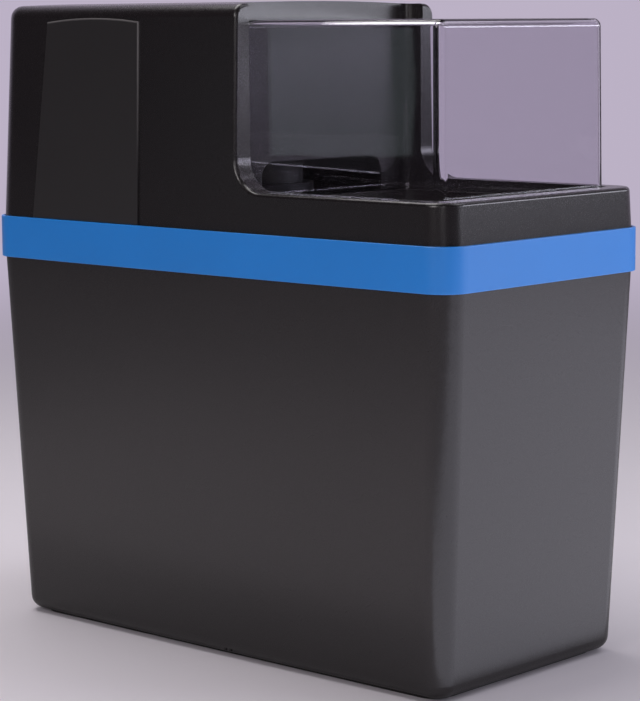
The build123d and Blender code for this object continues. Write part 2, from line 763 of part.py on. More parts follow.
# Manifold: one moulding that joins the two necks, the water ports and the control valve
port_block_back = waist_length / 2 - port_setback
turbine_place = (0, cylinder_middle)
control_place = (0, cylinder_middle - control_offset)
port_block_width = port_spacing + 2 * collar_radius + 2 * fit_gap
cross_y = port_block_back - socket_depth - 2 * gallery_radius
with BuildPart() as valve_manifold:
    with BuildSketch(Plane.XY.offset(flange_pair_top + manifold_neck)) as body:
        with Locations(*neck_places):
            Circle(manifold_radius)
        with Locations((0, cylinder_middle)):
            Rectangle(bridge_width, cylinder_pitch)
        with Locations((0, port_block_back - port_block_depth / 2)):
            Rectangle(port_block_width, port_block_depth)
    extrude(amount=manifold_top - flange_pair_top - manifold_neck)
    fillet(valve_manifold.faces().sort_by(Axis.Z)[-1].edges(), manifold_round)
    with BuildSketch(Plane.XY.offset(neck_top)):
        with Locations(*neck_places):
            Circle(flange_radius)
    extrude(amount=flange_thickness)
    with BuildSketch(Plane.XY.offset(spigot_bottom)):
        with Locations(*neck_places):
            Circle(spigot_radius)
    extrude(amount=spigot_depth)
    with BuildSketch(Plane.XY.offset(flange_pair_top)):
        with Locations(*neck_places):
            Circle(manifold_radius)
    extrude(amount=manifold_neck)
    # Nipple for the brine hose
    with Locations((bridge_width / 2, cylinder_middle, port_height)):
        Cylinder(hose_radius - hose_wall - fit_gap, 2 * nipple_length, rotation=(0, 90, 0))
    # Riser sockets, with the ring-shaped gallery to the upper strainer round each
    with BuildSketch(Plane.XY.offset(spigot_bottom)):
        for place in neck_places:
            with Locations(place):
                Circle(riser_radius + fit_gap)
    extrude(amount=riser_top + seat_gap - spigot_bottom, mode=Mode.SUBTRACT)
    with BuildSketch(Plane.XY.offset(spigot_bottom)):
        for place in neck_places:
            with Locations(place):
                Circle(spigot_radius - riser_wall)
                Circle(riser_radius + fit_gap + riser_wall, mode=Mode.SUBTRACT)
    extrude(amount=spigot_depth + flange_thickness, mode=Mode.SUBTRACT)
    with BuildSketch(Plane.XY.offset(neck_top)):
        for place in neck_places:
            with Locations(place):
                Circle(seal_middle + seal_width / 2 + fit_gap)
                Circle(seal_middle - seal_width / 2 - fit_gap, mode=Mode.SUBTRACT)
    extrude(amount=seal_width, mode=Mode.SUBTRACT)
    # Turbine chamber and its lower bearing
    with BuildSketch(Plane.XY.offset(manifold_top)):
        with Locations(turbine_place):
            Circle(turbine_chamber_radius)
    extrude(amount=-turbine_chamber_depth, mode=Mode.SUBTRACT)
    with Locations((*turbine_place, manifold_top - turbine_chamber_depth)):
        Cylinder(shaft_radius + running_gap, 2 * shaft_seat, mode=Mode.SUBTRACT)
    # Sockets for the adaptors, the drain, and the galleries behind them
    with BuildSketch(Plane.XZ.offset(-port_block_back)):
        with Locations((-port_spacing / 2, port_height), (port_spacing / 2, port_height)):
            Circle(socket_radius + fit_gap)
        with Locations((0, port_height)):
            Circle(drain_radius)
    extrude(amount=socket_depth, mode=Mode.SUBTRACT)
    for side, reach in ((-1, cylinder_pitch), (1, cylinder_pitch / 2)):
        gallery_x = side * (turbine_chamber_radius + gallery_radius + 1 if side < 0 else port_spacing / 4)
        with Locations((side * port_spacing / 2, cross_y + gallery_radius, port_height)):
            Cylinder(gallery_radius, 4 * gallery_radius, rotation=(90, 0, 0), mode=Mode.SUBTRACT)
        with Locations(((gallery_x + side * port_spacing / 2) / 2, cross_y, port_height)):
            Cylinder(gallery_radius, abs(side * port_spacing / 2 - gallery_x), rotation=(0, 90, 0),
                     mode=Mode.SUBTRACT)
        with Locations((gallery_x, cross_y - reach / 2, port_height)):
            Cylinder(gallery_radius, reach, rotation=(90, 0, 0), mode=Mode.SUBTRACT)
    # Ports up to the control disc
    with BuildSketch(Plane.XY.offset(manifold_top)):
        with Locations(control_place):
            with PolarLocations(port_circle, port_count):
                Circle(port_hole)
    extrude(amount=port_height - manifold_top - port_hole, mode=Mode.SUBTRACT)
    # Holes for the clips that hold the adaptors
    clip_y = port_block_back - socket_depth / 2
    with BuildSketch(Plane.XY.offset(manifold_top)):
        with Locations((-port_spacing / 2, clip_y), (port_spacing / 2, clip_y)):
            with GridLocations(2 * socket_radius, 0, 2, 1):
                Circle(clip_radius + fit_gap)
    extrude(amount=port_height - manifold_top - clip_depth, mode=Mode.SUBTRACT)
save(valve_manifold, "valve_manifold")


# Ends of the spigots in their sockets, and where the adaptors' seal grooves start
spigot_end = port_block_back - socket_depth + seat_gap
seal_start = spigot_end + 1
tail_end = port_block_back + collar_length + thread_length


def port_adaptor(x):
    """A hose adaptor: a grooved spigot, a hexagon collar and a threaded tail with a bore through it all."""
    with BuildPart() as adaptor:
        with BuildSketch(Plane(origin=(x, 0, port_height), x_dir=(1, 0, 0), z_dir=(0, 0, 1))):
            with BuildLine():
                groove = clip_radius + fit_gap
                waist = socket_radius - clip_radius - fit_gap
                Polyline((adaptor_bore, spigot_end), (socket_radius, spigot_end),
                         (socket_radius, seal_start), (waist, seal_start),
                         (waist, seal_start + adaptor_seal_width), (socket_radius, seal_start + adaptor_seal_width),
                         (socket_radius, clip_y - groove), (waist, clip_y - groove), (waist, clip_y + groove),
                         (socket_radius, clip_y + groove), (socket_radius, port_block_back),
                         (socket_radius, port_block_back + collar_length),
                         (thread_radius, port_block_back + collar_length),
                         (thread_radius, tail_end - 1), (thread_radius - 1, tail_end),
                         (adaptor_bore, tail_end), close=True)
            make_face()
        revolve(axis=Axis((x, 0, port_height), (0, 1, 0)))
        with BuildSketch(Plane.XZ.offset(-port_block_back)):
            with Locations((x, port_height)):
                RegularPolygon(collar_radius, 6)
                Circle(adaptor_bore, mode=Mode.SUBTRACT)
        extrude(amount=-collar_length)
    return adaptor


# Adaptors for the inlet and outlet hoses, each held by a spring clip
save(port_adaptor(-port_spacing / 2), "inlet_adaptor")
save(port_adaptor(port_spacing / 2), "outlet_adaptor")

# Rubber rings in the adaptors' grooves, drawn as pressed by their sockets
with BuildPart() as adaptor_seals:
    with BuildSketch(Plane.XZ.offset(-seal_start)):
        with Locations((-port_spacing / 2, port_height), (port_spacing / 2, port_height)):
            Circle(socket_radius + fit_gap)
            Circle(socket_radius - clip_radius - fit_gap, mode=Mode.SUBTRACT)
    extrude(amount=-adaptor_seal_width)
save(adaptor_seals, "adaptor_seals")

# Screen in the mouth of the inlet: a barred disc pressed into the bore
with BuildPart() as inlet_strainer:
    with BuildSketch(Plane.XZ.offset(-tail_end + 2 * screen_depth)) as screen:
        with Locations((-port_spacing / 2, port_height)):
            Circle(adaptor_bore)
            Circle(adaptor_bore - screen_bar, mode=Mode.SUBTRACT)
            with GridLocations(3 * screen_bar, 0, 5, 1):
                Rectangle(screen_bar, 2 * adaptor_bore)
            with GridLocations(0, 3 * screen_bar, 1, 5):
                Rectangle(2 * adaptor_bore, screen_bar)
            Circle(adaptor_bore, mode=Mode.INTERSECT)
    extrude(amount=-screen_depth)
save(inlet_strainer, "inlet_strainer")

with BuildPart() as adaptor_clips:
    for side in (-1, 1):
        middle = side * port_spacing / 2
        foot, bow = port_height - clip_depth + seat_gap, manifold_top + clip_bow
        with BuildLine() as wire:
            FilletPolyline((middle - socket_radius, clip_y, foot), (middle - socket_radius, clip_y, bow),
                           (middle + socket_radius, clip_y, bow), (middle + socket_radius, clip_y, foot),
                           radius=2 * clip_radius)
        with BuildSketch(Plane(origin=(middle - socket_radius, clip_y, foot), z_dir=(0, 0, 1))):
            Circle(clip_radius)
        sweep(path=wire.wires()[0])
save(adaptor_clips, "adaptor_clips")

# Drain spigot: a hose tail pushed into the middle socket
with BuildPart() as drain_spigot:
    with BuildSketch(Plane(origin=(0, 0, port_height), x_dir=(1, 0, 0), z_dir=(0, 0, 1))):
        with BuildLine():
            tail_start = port_block_back + collar_length
            Polyline((drain_bore, spigot_end), (drain_radius - fit_gap, spigot_end),
                     (drain_radius - fit_gap, port_block_back),
                     (drain_collar, port_block_back), (drain_collar, tail_start), (drain_radius, tail_start),
                     (drain_radius, tail_end - 1), (drain_radius - 1, tail_end), (drain_bore, tail_end),
                     close=True)
        make_face()
    revolve(axis=Axis((0, 0, port_height), (0, 1, 0)))
save(drain_spigot, "drain_spigot")


def gear_outline(teeth, tooth_angle):
    """Involute gear outline with one tooth centred on tooth_angle, thinned by half the backlash each side."""
    pitch = gear_module * teeth / 2
    base = pitch * cos(radians(pressure_angle))
    root, tip = pitch - tooth_dedendum * gear_module, pitch + tooth_addendum * gear_module
    flank_radii = [root, max(base, root + 0.01), pitch, tip]
    points = []
    for tooth in range(teeth):
        middle = radians(tooth_angle) + 2 * pi * tooth / teeth
        half_angles = []
        for radius in flank_radii:
            opening = acos(min(1, base / max(radius, base)))
            half_angles.append((pi * gear_module / 2 - backlash) / (2 * pitch) + involute(radians(pressure_angle))
                               - involute(opening))
        for radius, half in zip(flank_radii, half_angles):
            points.append((radius * cos(middle - half), radius * sin(middle - half)))
        for radius, half in zip(reversed(flank_radii), reversed(half_angles)):
            points.append((radius * cos(middle + half), radius * sin(middle + half)))
    return points


def involute(angle):
    """The involute function of an angle in radians."""
    return tan(angle) - angle


def gear_tip(teeth):
    """Outside radius of a gear."""
    return gear_module * (teeth / 2 + tooth_addendum)


def polar(place, distance, angle):
    """The point at a distance and an angle in degrees from a place in plan."""
    return (place[0] + distance * cos(radians(angle)), place[1] + distance * sin(radians(angle)))


def bearing(start, end):
    """The angle in degrees of the line from one place to another."""
    return degrees(atan2(end[1] - start[1], end[0] - start[0]))


# Places of the gear shafts in plan: turbine, first gear, second gear, control disc
wheel_distance = gear_module * (pinion_teeth + wheel_teeth) / 2
control_distance = gear_module * (pinion_teeth + control_teeth) / 2
first_place = polar(turbine_place, wheel_distance, first_gear_angle)
span = sqrt((first_place[0] - control_place[0]) ** 2 + (first_place[1] - control_place[1]) ** 2)
swing = degrees(acos((control_distance ** 2 + span ** 2 - wheel_distance ** 2) / (2 * control_distance * span)))
second_place = polar(control_place, control_distance, bearing(control_place, first_place) - swing)

# Heights of the gear layers
layer_1 = manifold_top + case_floor + 1
layer_2 = layer_1 + gear_width + layer_gap
layer_3 = layer_2 + gear_width + layer_gap
case_top = layer_3 + gear_width + layer_gap
lid_base = case_top + gasket_thickness
lid_top = lid_base + case_lid_thickness
pin_hole = shaft_radius + running_gap


def half_pitch(teeth):
    """Angle from a tooth to the gap beside it."""
    return 180 / teeth


def gear_face(teeth, place, tooth_angle, height):
    """Flat face of a toothed wheel at a place and a height."""
    with BuildSketch(Plane(origin=(*place, height), z_dir=(0, 0, 1))) as face:
        with BuildLine():
            Polyline(*gear_outline(teeth, tooth_angle), close=True)
        make_face()
    return face.sketch


# Gear case: a moulded pan on the manifold, its wall following the gears
case_circles = [(control_place, gear_tip(control_teeth)), (first_place, gear_tip(wheel_teeth)),
                (second_place, gear_tip(wheel_teeth)), (turbine_place, gear_tip(pinion_teeth))]


def case_outline(height, grow):
    """Plan that wraps all the gears at a distance."""
    with BuildSketch(Plane.XY.offset(height)) as outline:
        for place, radius in case_circles:
            with Locations(place):
                Circle(radius + grow)
        make_hull()
    return outline.sketch


boss_reach = case_clearance + case_wall + boss_radius / 2
boss_places = [polar(control_place, gear_tip(control_teeth) + boss_reach, angle) for angle in control_boss_angles]
boss_places += [polar(first_place, gear_tip(wheel_teeth) + boss_reach, angle) for angle in first_boss_angles]
boss_places += [polar(second_place, gear_tip(wheel_teeth) + boss_reach, second_boss_angle)]

with BuildPart() as gear_case:
    add(case_outline(manifold_top, case_clearance + case_wall))
    extrude(amount=case_top - manifold_top)
    with BuildSketch(Plane.XY.offset(manifold_top)):
        with Locations(*boss_places):
            Circle(boss_radius)
    extrude(amount=case_top - manifold_top)
    add(case_outline(manifold_top + case_floor, case_clearance))
    extrude(amount=case_top, mode=Mode.SUBTRACT)
    with BuildSketch(Plane.XY.offset(manifold_top)):
        with Locations(first_place):
            Circle(boss_radius)
    extrude(amount=layer_1 - seat_gap - manifold_top)
    with BuildSketch(Plane.XY.offset(manifold_top)):
        with Locations(second_place):
            Circle(boss_radius)
    extrude(amount=layer_2 - seat_gap - manifold_top)
    with BuildSketch(Plane.XY.offset(manifold_top)):
        with Locations(first_place, second_place):
            Circle(pin_hole)
        with Locations(turbine_place):
            Circle(boss_radius)
        with Locations(control_place):
            Circle(disc_radius + case_clearance / 2)
    extrude(amount=case_top, mode=Mode.SUBTRACT)
    with BuildSketch(Plane.XY.offset(case_top)):
        with Locations(*boss_places):
            Circle(screw_radius + running_gap)
    extrude(amount=-screw_length, mode=Mode.SUBTRACT)
save(gear_case, "gear_case")

# Gasket and lid of the gear case
with BuildPart() as gear_case_gasket:
    with BuildSketch(Plane.XY.offset(case_top)):
        add(case_outline(case_top, case_clearance + case_wall))
        with Locations(*boss_places):
            Circle(boss_radius)
        add(case_outline(case_top, case_clearance), mode=Mode.SUBTRACT)
        with Locations(*boss_places):
            Circle(screw_radius + fit_gap, mode=Mode.SUBTRACT)
    extrude(amount=gasket_thickness)
save(gear_case_gasket, "gear_case_gasket")

with BuildPart() as gear_case_lid:
    with BuildSketch(Plane.XY.offset(lid_base)):
        add(case_outline(lid_base, case_clearance + case_wall))
        with Locations(*boss_places):
            Circle(boss_radius)
            Circle(screw_radius + fit_gap, mode=Mode.SUBTRACT)
        with Locations(control_place):
            Circle(spindle_radius + running_gap, mode=Mode.SUBTRACT)
    extrude(amount=case_lid_thickness)
    with BuildSketch(Plane.XY.offset(lid_base)):
        with Locations(first_place, second_place, turbine_place):
            Circle(pin_hole)
    extrude(amount=case_lid_thickness / 2, mode=Mode.SUBTRACT)
    # Raised ring round the knob, with marks for the five positions
    with BuildSketch(Plane.XY.offset(lid_top)):
        with Locations(control_place):
            Circle(knob_radius + dial_width)
            Circle(knob_radius + seat_gap, mode=Mode.SUBTRACT)
            with PolarLocations(knob_radius + dial_width / 2, port_count):
                Rectangle(dial_width, dial_mark, mode=Mode.SUBTRACT)
    extrude(amount=dial_height)
save(gear_case_lid, "gear_case_lid")

with BuildPart() as gear_case_screws:
    with BuildSketch(Plane.XY.offset(lid_top)):
        with Locations(*boss_places):
            Circle(screw_radius)
    extrude(amount=case_top - screw_length + seat_gap - lid_top)
    with BuildSketch(Plane.XY.offset(lid_top)):
        with Locations(*boss_places):
            Circle(2 * screw_radius)
    extrude(amount=screw_head)
    with BuildSketch(Plane.XY.offset(lid_top + screw_head)):
        with Locations(*boss_places):
            Rectangle(3 * screw_radius, screw_head / 3)
            Rectangle(screw_head / 3, 3 * screw_radius)
    extrude(amount=-screw_head / 2, mode=Mode.SUBTRACT)
save(gear_case_screws, "gear_case_screws")

# Port disc: the fixed ceramic face that the control disc turns on
with BuildPart() as port_disc:
    with BuildSketch(Plane.XY.offset(manifold_top)):
        with Locations(control_place):
            Circle(disc_radius + case_clearance / 3)
            with PolarLocations(port_circle, port_count):
                Circle(port_hole, mode=Mode.SUBTRACT)
    extrude(amount=port_disc_thickness)
save(port_disc, "port_disc")

# Mesh angles: each gear has a tooth where its partner has a gap
first_wheel_angle = bearing(first_place, turbine_place) + half_pitch(wheel_teeth)
second_wheel_angle = bearing(second_place, first_place) + half_pitch(wheel_teeth)
control_angle = bearing(control_place, second_place) + half_pitch(control_teeth)
disc_base = manifold_top + port_disc_thickness + seat_gap
spindle_top = lid_top + knob_height - 1

# Control gear: the ported disc, its hub, its gear and the spindle that carries the knob
with BuildPart() as control_gear:
    with BuildSketch(Plane.XY.offset(disc_base)):
        with Locations(control_place):
            Circle(disc_radius)
            with PolarLocations(port_circle, 3, start_angle=20):
                Circle(port_hole + 1, mode=Mode.SUBTRACT)
    extrude(amount=disc_thickness)
    with BuildSketch(Plane.XY.offset(disc_base + disc_thickness)):
        with Locations(control_place):
            Circle(hub_radius)
    extrude(amount=layer_3 + gear_width - disc_base - disc_thickness)
    extrude(gear_face(control_teeth, control_place, control_angle, layer_3), amount=gear_width)
    # Thinner web with round holes, as moulded gears have
    web_outer = gear_tip(control_teeth) - 3 * gear_module
    with BuildSketch(Plane.XY.offset(layer_3 + gear_width)):
        with Locations(control_place):
            Circle(web_outer)
            Circle(hub_radius, mode=Mode.SUBTRACT)
    extrude(amount=-gear_width / 2, mode=Mode.SUBTRACT)
    with BuildSketch(Plane.XY.offset(layer_3)):
        with Locations(control_place):
            with PolarLocations((web_outer + hub_radius) / 2, 6):
                Circle((web_outer - hub_radius) / 4)
    extrude(amount=gear_width, mode=Mode.SUBTRACT)
    with BuildSketch(Plane.XY.offset(layer_3 + gear_width)):
        with Locations(control_place):
            Circle(spindle_radius)
    extrude(amount=spindle_top - layer_3 - gear_width)
    # Flat that drives the knob
    with BuildSketch(Plane.XY.offset(lid_top + seat_gap)):
        with Locations((control_place[0], control_place[1] + 2 * spindle_radius - spindle_flat)):
            Rectangle(2 * spindle_radius, 2 * spindle_radius)
    extrude(amount=knob_height, mode=Mode.SUBTRACT)
save(control_gear, "control_gear")

# Knob for turning the control disc by hand: fluted, with a pointer
with BuildPart() as advance_knob:
    with BuildSketch(Plane.XY.offset(lid_top + seat_gap)):
        with Locations(control_place):
            Circle(knob_radius)
            with PolarLocations(knob_radius + flute_radius / 2, flute_count):
                Circle(flute_radius, mode=Mode.SUBTRACT)
    extrude(amount=knob_height)
    chamfer(advance_knob.faces().sort_by(Axis.Z)[-1].edges(), 1)
    with BuildSketch(Plane.XY.offset(lid_top + seat_gap + knob_height)):
        with Locations(polar(control_place, knob_radius / 2, 90)):
            Rectangle(dial_mark, knob_radius / 2)
    extrude(amount=dial_height / 2)
    with BuildSketch(Plane.XY.offset(lid_top + seat_gap)):
        with Locations(control_place):
            Circle(spindle_radius + running_gap)
        with Locations((control_place[0], control_place[1] + 2 * spindle_radius - spindle_flat + running_gap)):
            Rectangle(2 * spindle_radius, 2 * spindle_radius, mode=Mode.SUBTRACT)
    extrude(amount=spindle_top - lid_top, mode=Mode.SUBTRACT)
save(advance_knob, "advance_knob")


def compound_gear(place, wheel_angle, wheel_height, pinion_angle):
    """A wheel with a smaller pinion on top, moulded in one and bored for its pin."""
    with BuildPart() as gear:
        extrude(gear_face(wheel_teeth, place, wheel_angle, wheel_height), amount=gear_width)
        extrude(gear_face(pinion_teeth, place, pinion_angle, wheel_height + gear_width),
                amount=gear_width + layer_gap)
        with BuildSketch(Plane.XY.offset(wheel_height)):
            with Locations(place):
                Circle(pin_hole)
        extrude(amount=3 * gear_width, mode=Mode.SUBTRACT)
    return gear


# The two compound gears between the turbine's pinion and the control gear, and the pins that they run on
save(compound_gear(first_place, first_wheel_angle, layer_1, bearing(first_place, second_place)), "first_gear")
save(compound_gear(second_place, second_wheel_angle, layer_2, bearing(second_place, control_place)), "second_gear")

pin_top = lid_base + case_lid_thickness / 2 - seat_gap
with BuildPart() as gear_pins:
    with BuildSketch(Plane.XY.offset(manifold_top)):
        with Locations(first_place, second_place):
            Circle(shaft_radius)
    extrude(amount=pin_top - manifold_top)
save(gear_pins, "gear_pins")

# Turbine: a paddle rotor in the outgoing water, its shaft, its pinion and the bush in the case floor
rotor_base = manifold_top - turbine_chamber_depth + 1
with BuildPart() as turbine_shaft:
    with BuildSketch(Plane.XY.offset(rotor_base - 1 - shaft_seat + seat_gap)):
        with Locations(turbine_place):
            Circle(shaft_radius)
    extrude(amount=pin_top - rotor_base + 1 + shaft_seat - seat_gap)
save(turbine_shaft, "turbine_shaft")

with BuildPart() as turbine_rotor:
    with BuildSketch(Plane.XY.offset(rotor_base)):
        with Locations(turbine_place):
            with PolarLocations(rotor_radius / 2 + shaft_radius, blade_count):
                Rectangle(rotor_radius - 2 * shaft_radius, blade_thickness)
            Circle(3 * shaft_radius)
            Circle(pin_hole, mode=Mode.SUBTRACT)
    extrude(amount=rotor_height)
save(turbine_rotor, "turbine_rotor")

with BuildPart() as turbine_pinion:
    extrude(gear_face(pinion_teeth, turbine_place, bearing(turbine_place, first_place), layer_1),
            amount=gear_width)
    with BuildSketch(Plane.XY.offset(layer_1)):
        with Locations(turbine_place):
            Circle(pin_hole)
    extrude(amount=gear_width, mode=Mode.SUBTRACT)
save(turbine_pinion, "turbine_pinion")

with BuildPart() as turbine_bush:
    with BuildSketch(Plane.XY.offset(manifold_top)):
        with Locations(turbine_place):
            Circle(boss_radius - running_gap)
            Circle(pin_hole, mode=Mode.SUBTRACT)
    extrude(amount=case_floor)
    with BuildSketch(Plane.XY.offset(manifold_top)):
        with Locations(turbine_place):
            Circle(boss_radius + bush_flange)
            Circle(pin_hole, mode=Mode.SUBTRACT)
    extrude(amount=-bush_flange)
save(turbine_bush, "turbine_bush")

# Brine well: an upright tube with windows at its foot, in the space beside the cylinders
well_place = (well_x, cylinder_middle)
float_place = (well_x - float_offset, cylinder_middle)
pickup_place = (well_x + pickup_offset, cylinder_middle)
with BuildPart() as brine_well:
    with BuildSketch(Plane.XY.offset(floor_top)):
        with Locations(well_place):
            Circle(well_radius)
            Circle(well_radius - well_wall, mode=Mode.SUBTRACT)
    extrude(amount=well_top - floor_top)
    with Locations((*well_place, floor_top + window_height)):
        Box(3 * well_radius, window_height, window_height, mode=Mode.SUBTRACT)
        Box(window_height, 3 * well_radius, window_height, mode=Mode.SUBTRACT)
save(brine_well, "brine_well")

# Brine valve: a cap on the well with a guide for the float's rod and a socket for the pick-up tube
cap_top = well_top + brine_cap_thickness
body_top = cap_top + brine_body_height
with BuildPart() as brine_valve:
    with BuildSketch(Plane.XY.offset(well_top)):
        with Locations(well_place):
            Circle(well_radius)
    extrude(amount=brine_cap_thickness)
    with BuildSketch(Plane.XY.offset(well_top)):
        with Locations(well_place):
            Circle(well_radius - well_wall - fit_gap)
    extrude(amount=-brine_cap_thickness)
    with BuildSketch(Plane.XY.offset(cap_top)):
        with Locations(well_place):
            RectangleRounded(brine_body_width, brine_body_width, 2 * well_wall)
    extrude(amount=brine_body_height)
    chamfer(brine_valve.faces().sort_by(Axis.Z)[-1].edges(), 1)
    with BuildSketch(Plane.XY.offset(well_top)):
        with Locations(float_place):
            Circle(nose_radius)
    extrude(amount=-nose_length)
    with BuildSketch(Plane.XY.offset(body_top)):
        with Locations((well_x + hose_offset, cylinder_middle)):
            Circle(hose_radius - hose_wall - fit_gap)
    extrude(amount=nipple_length)
    with BuildSketch(Plane.XY.offset(well_top - nose_length)):
        with Locations(float_place):
            Circle(rod_radius + running_gap)
    extrude(amount=body_top - well_top + nose_length - well_wall, mode=Mode.SUBTRACT)
    with BuildSketch(Plane.XY.offset(well_top - brine_cap_thickness)):
        with Locations(pickup_place):
            Circle(pickup_radius + running_gap)
    extrude(amount=brine_cap_thickness + brine_body_height / 2, mode=Mode.SUBTRACT)
save(brine_valve, "brine_valve")

# Float and its rod: they rise with the brine and shut the refill
rod_bottom = float_low - 2 * rod_radius
rod_top = well_top - nose_length + rod_engagement
with BuildPart() as float_rod:
    with BuildSketch(Plane.XY.offset(rod_bottom)):
        with Locations(float_place):
            Circle(rod_radius)
    extrude(amount=rod_top - rod_bottom)
save(float_rod, "float_rod")

with BuildPart() as brine_float:
    with BuildSketch(Plane.XY.offset(float_low)):
        with Locations(float_place):
            Circle(float_radius)
    extrude(amount=float_height)
    fillet(brine_float.edges(), 2 * well_wall)
    with BuildSketch(Plane.XY.offset(float_low)):
        with Locations(float_place):
            Circle(rod_radius + running_gap)
    extrude(amount=float_height, mode=Mode.SUBTRACT)
save(brine_float, "brine_float")

# Pick-up tube with its strainer, through which the brine is drawn
pickup_foot = floor_top + pickup_clearance
with BuildPart() as pickup_tube:
    with BuildSketch(Plane.XY.offset(pickup_foot)):
        with Locations(pickup_place):
            Circle(pickup_radius)
            Circle(pickup_radius - pickup_wall, mode=Mode.SUBTRACT)
    extrude(amount=cap_top + brine_body_height / 2 - brine_cap_thickness - seat_gap - pickup_foot)
save(pickup_tube, "pickup_tube")

with BuildPart() as pickup_strainer:
    with BuildSketch(Plane.XY.offset(floor_top)):
        with Locations(pickup_place):
            Circle(pickup_radius + well_wall)
    extrude(amount=2 * pickup_clearance)
    with BuildSketch(Plane.XY.offset(pickup_foot)):
        with Locations(pickup_place):
            Circle(pickup_radius + running_gap)
    extrude(amount=pickup_clearance, mode=Mode.SUBTRACT)
    with BuildSketch(Plane.XY.offset(floor_top + strainer_slot / 2)):
        with Locations(pickup_place):
            Rectangle(4 * pickup_radius, pickup_wall)
            Rectangle(pickup_wall, 4 * pickup_radius)
    extrude(amount=pickup_clearance - strainer_slot, mode=Mode.SUBTRACT)
save(pickup_strainer, "pickup_strainer")

# Brine hose: from the brine valve's nipple, over in one bend to the nipple on the manifold
hose_start = (bridge_width / 2 + seat_gap, cylinder_middle, port_height)
hose_corner = (well_x + hose_offset, cylinder_middle, port_height)
hose_end = (well_x + hose_offset, cylinder_middle, body_top + seat_gap)
with BuildPart() as brine_hose:
    with BuildLine() as route:
        FilletPolyline(hose_start, hose_corner, hose_end, radius=hose_bend)
    with BuildSketch(Plane(origin=hose_start, z_dir=(1, 0, 0))):
        Circle(hose_radius)
        Circle(hose_radius - hose_wall, mode=Mode.SUBTRACT)
    sweep(path=route.wires()[0])
save(brine_hose, "brine_hose")

# Overflow grommet: a rubber ring in the rear wall, square to the wall's slope
with BuildPart() as overflow_grommet:
    with BuildSketch(overflow_plane):
        Circle(overflow_radius + grommet_wall + grommet_lip)
    extrude(amount=grommet_lip)
    with BuildSketch(overflow_plane):
        Circle(overflow_radius + grommet_wall)
    extrude(amount=-wall)
    with BuildSketch(overflow_plane.offset(-wall)):
        Circle(overflow_radius + grommet_wall + grommet_lip)
    extrude(amount=-grommet_lip)
    with BuildSketch(overflow_plane.offset(grommet_lip)):
        Circle(overflow_radius)
    extrude(amount=-wall - 2 * grommet_lip, mode=Mode.SUBTRACT)
save(overflow_grommet, "overflow_grommet")
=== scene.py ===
"""Compact cabinet water softener, dressed for a studio picture.

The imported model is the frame: every piece of it stays where it is and gets its own finish. The clear lid, the
threaded hose tails, the drain tail and the studio are surfaces worked out here.
Metres, +Z up, the salt lid at -Y, the origin on the floor under the middle of the cabinet.
"""

import bpy
import numpy as np
from mathutils import Matrix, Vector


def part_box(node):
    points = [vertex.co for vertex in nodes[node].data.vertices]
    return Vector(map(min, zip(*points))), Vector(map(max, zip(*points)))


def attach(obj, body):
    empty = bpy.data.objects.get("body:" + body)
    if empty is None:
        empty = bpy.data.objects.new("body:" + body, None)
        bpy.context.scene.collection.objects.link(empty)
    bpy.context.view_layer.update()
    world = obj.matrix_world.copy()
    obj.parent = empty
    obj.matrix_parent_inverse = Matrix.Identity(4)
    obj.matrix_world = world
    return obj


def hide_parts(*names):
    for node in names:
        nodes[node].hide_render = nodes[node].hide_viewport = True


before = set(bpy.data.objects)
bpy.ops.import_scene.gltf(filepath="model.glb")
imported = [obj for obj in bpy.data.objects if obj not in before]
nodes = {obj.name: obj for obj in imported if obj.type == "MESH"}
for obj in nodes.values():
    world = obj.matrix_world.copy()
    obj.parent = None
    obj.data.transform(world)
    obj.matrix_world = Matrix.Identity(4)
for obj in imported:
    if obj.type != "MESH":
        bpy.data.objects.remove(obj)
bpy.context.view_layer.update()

# Cabinet tub: a deep injection-moulded tub of anthracite polypropylene that narrows towards the floor.
# Its mould is spark eroded, so the skin has a fine even grain, a satin sheen and faint flow marks.
ROUGHNESS_SCATTER = 0.12
FLOWS_PER_METRE = 9.0
FLOW_LOW, FLOW_HIGH = 0.3, 0.7


def new_sockets(group, given, made):
    """Adds named inputs, with their first values, and named outputs to a node group."""
    for name, kind, value in given:
        socket = group.interface.new_socket(name, in_out="INPUT", socket_type="NodeSocket" + kind)
        socket.default_value = value
    for name, kind in made:
        group.interface.new_socket(name, in_out="OUTPUT", socket_type="NodeSocket" + kind)


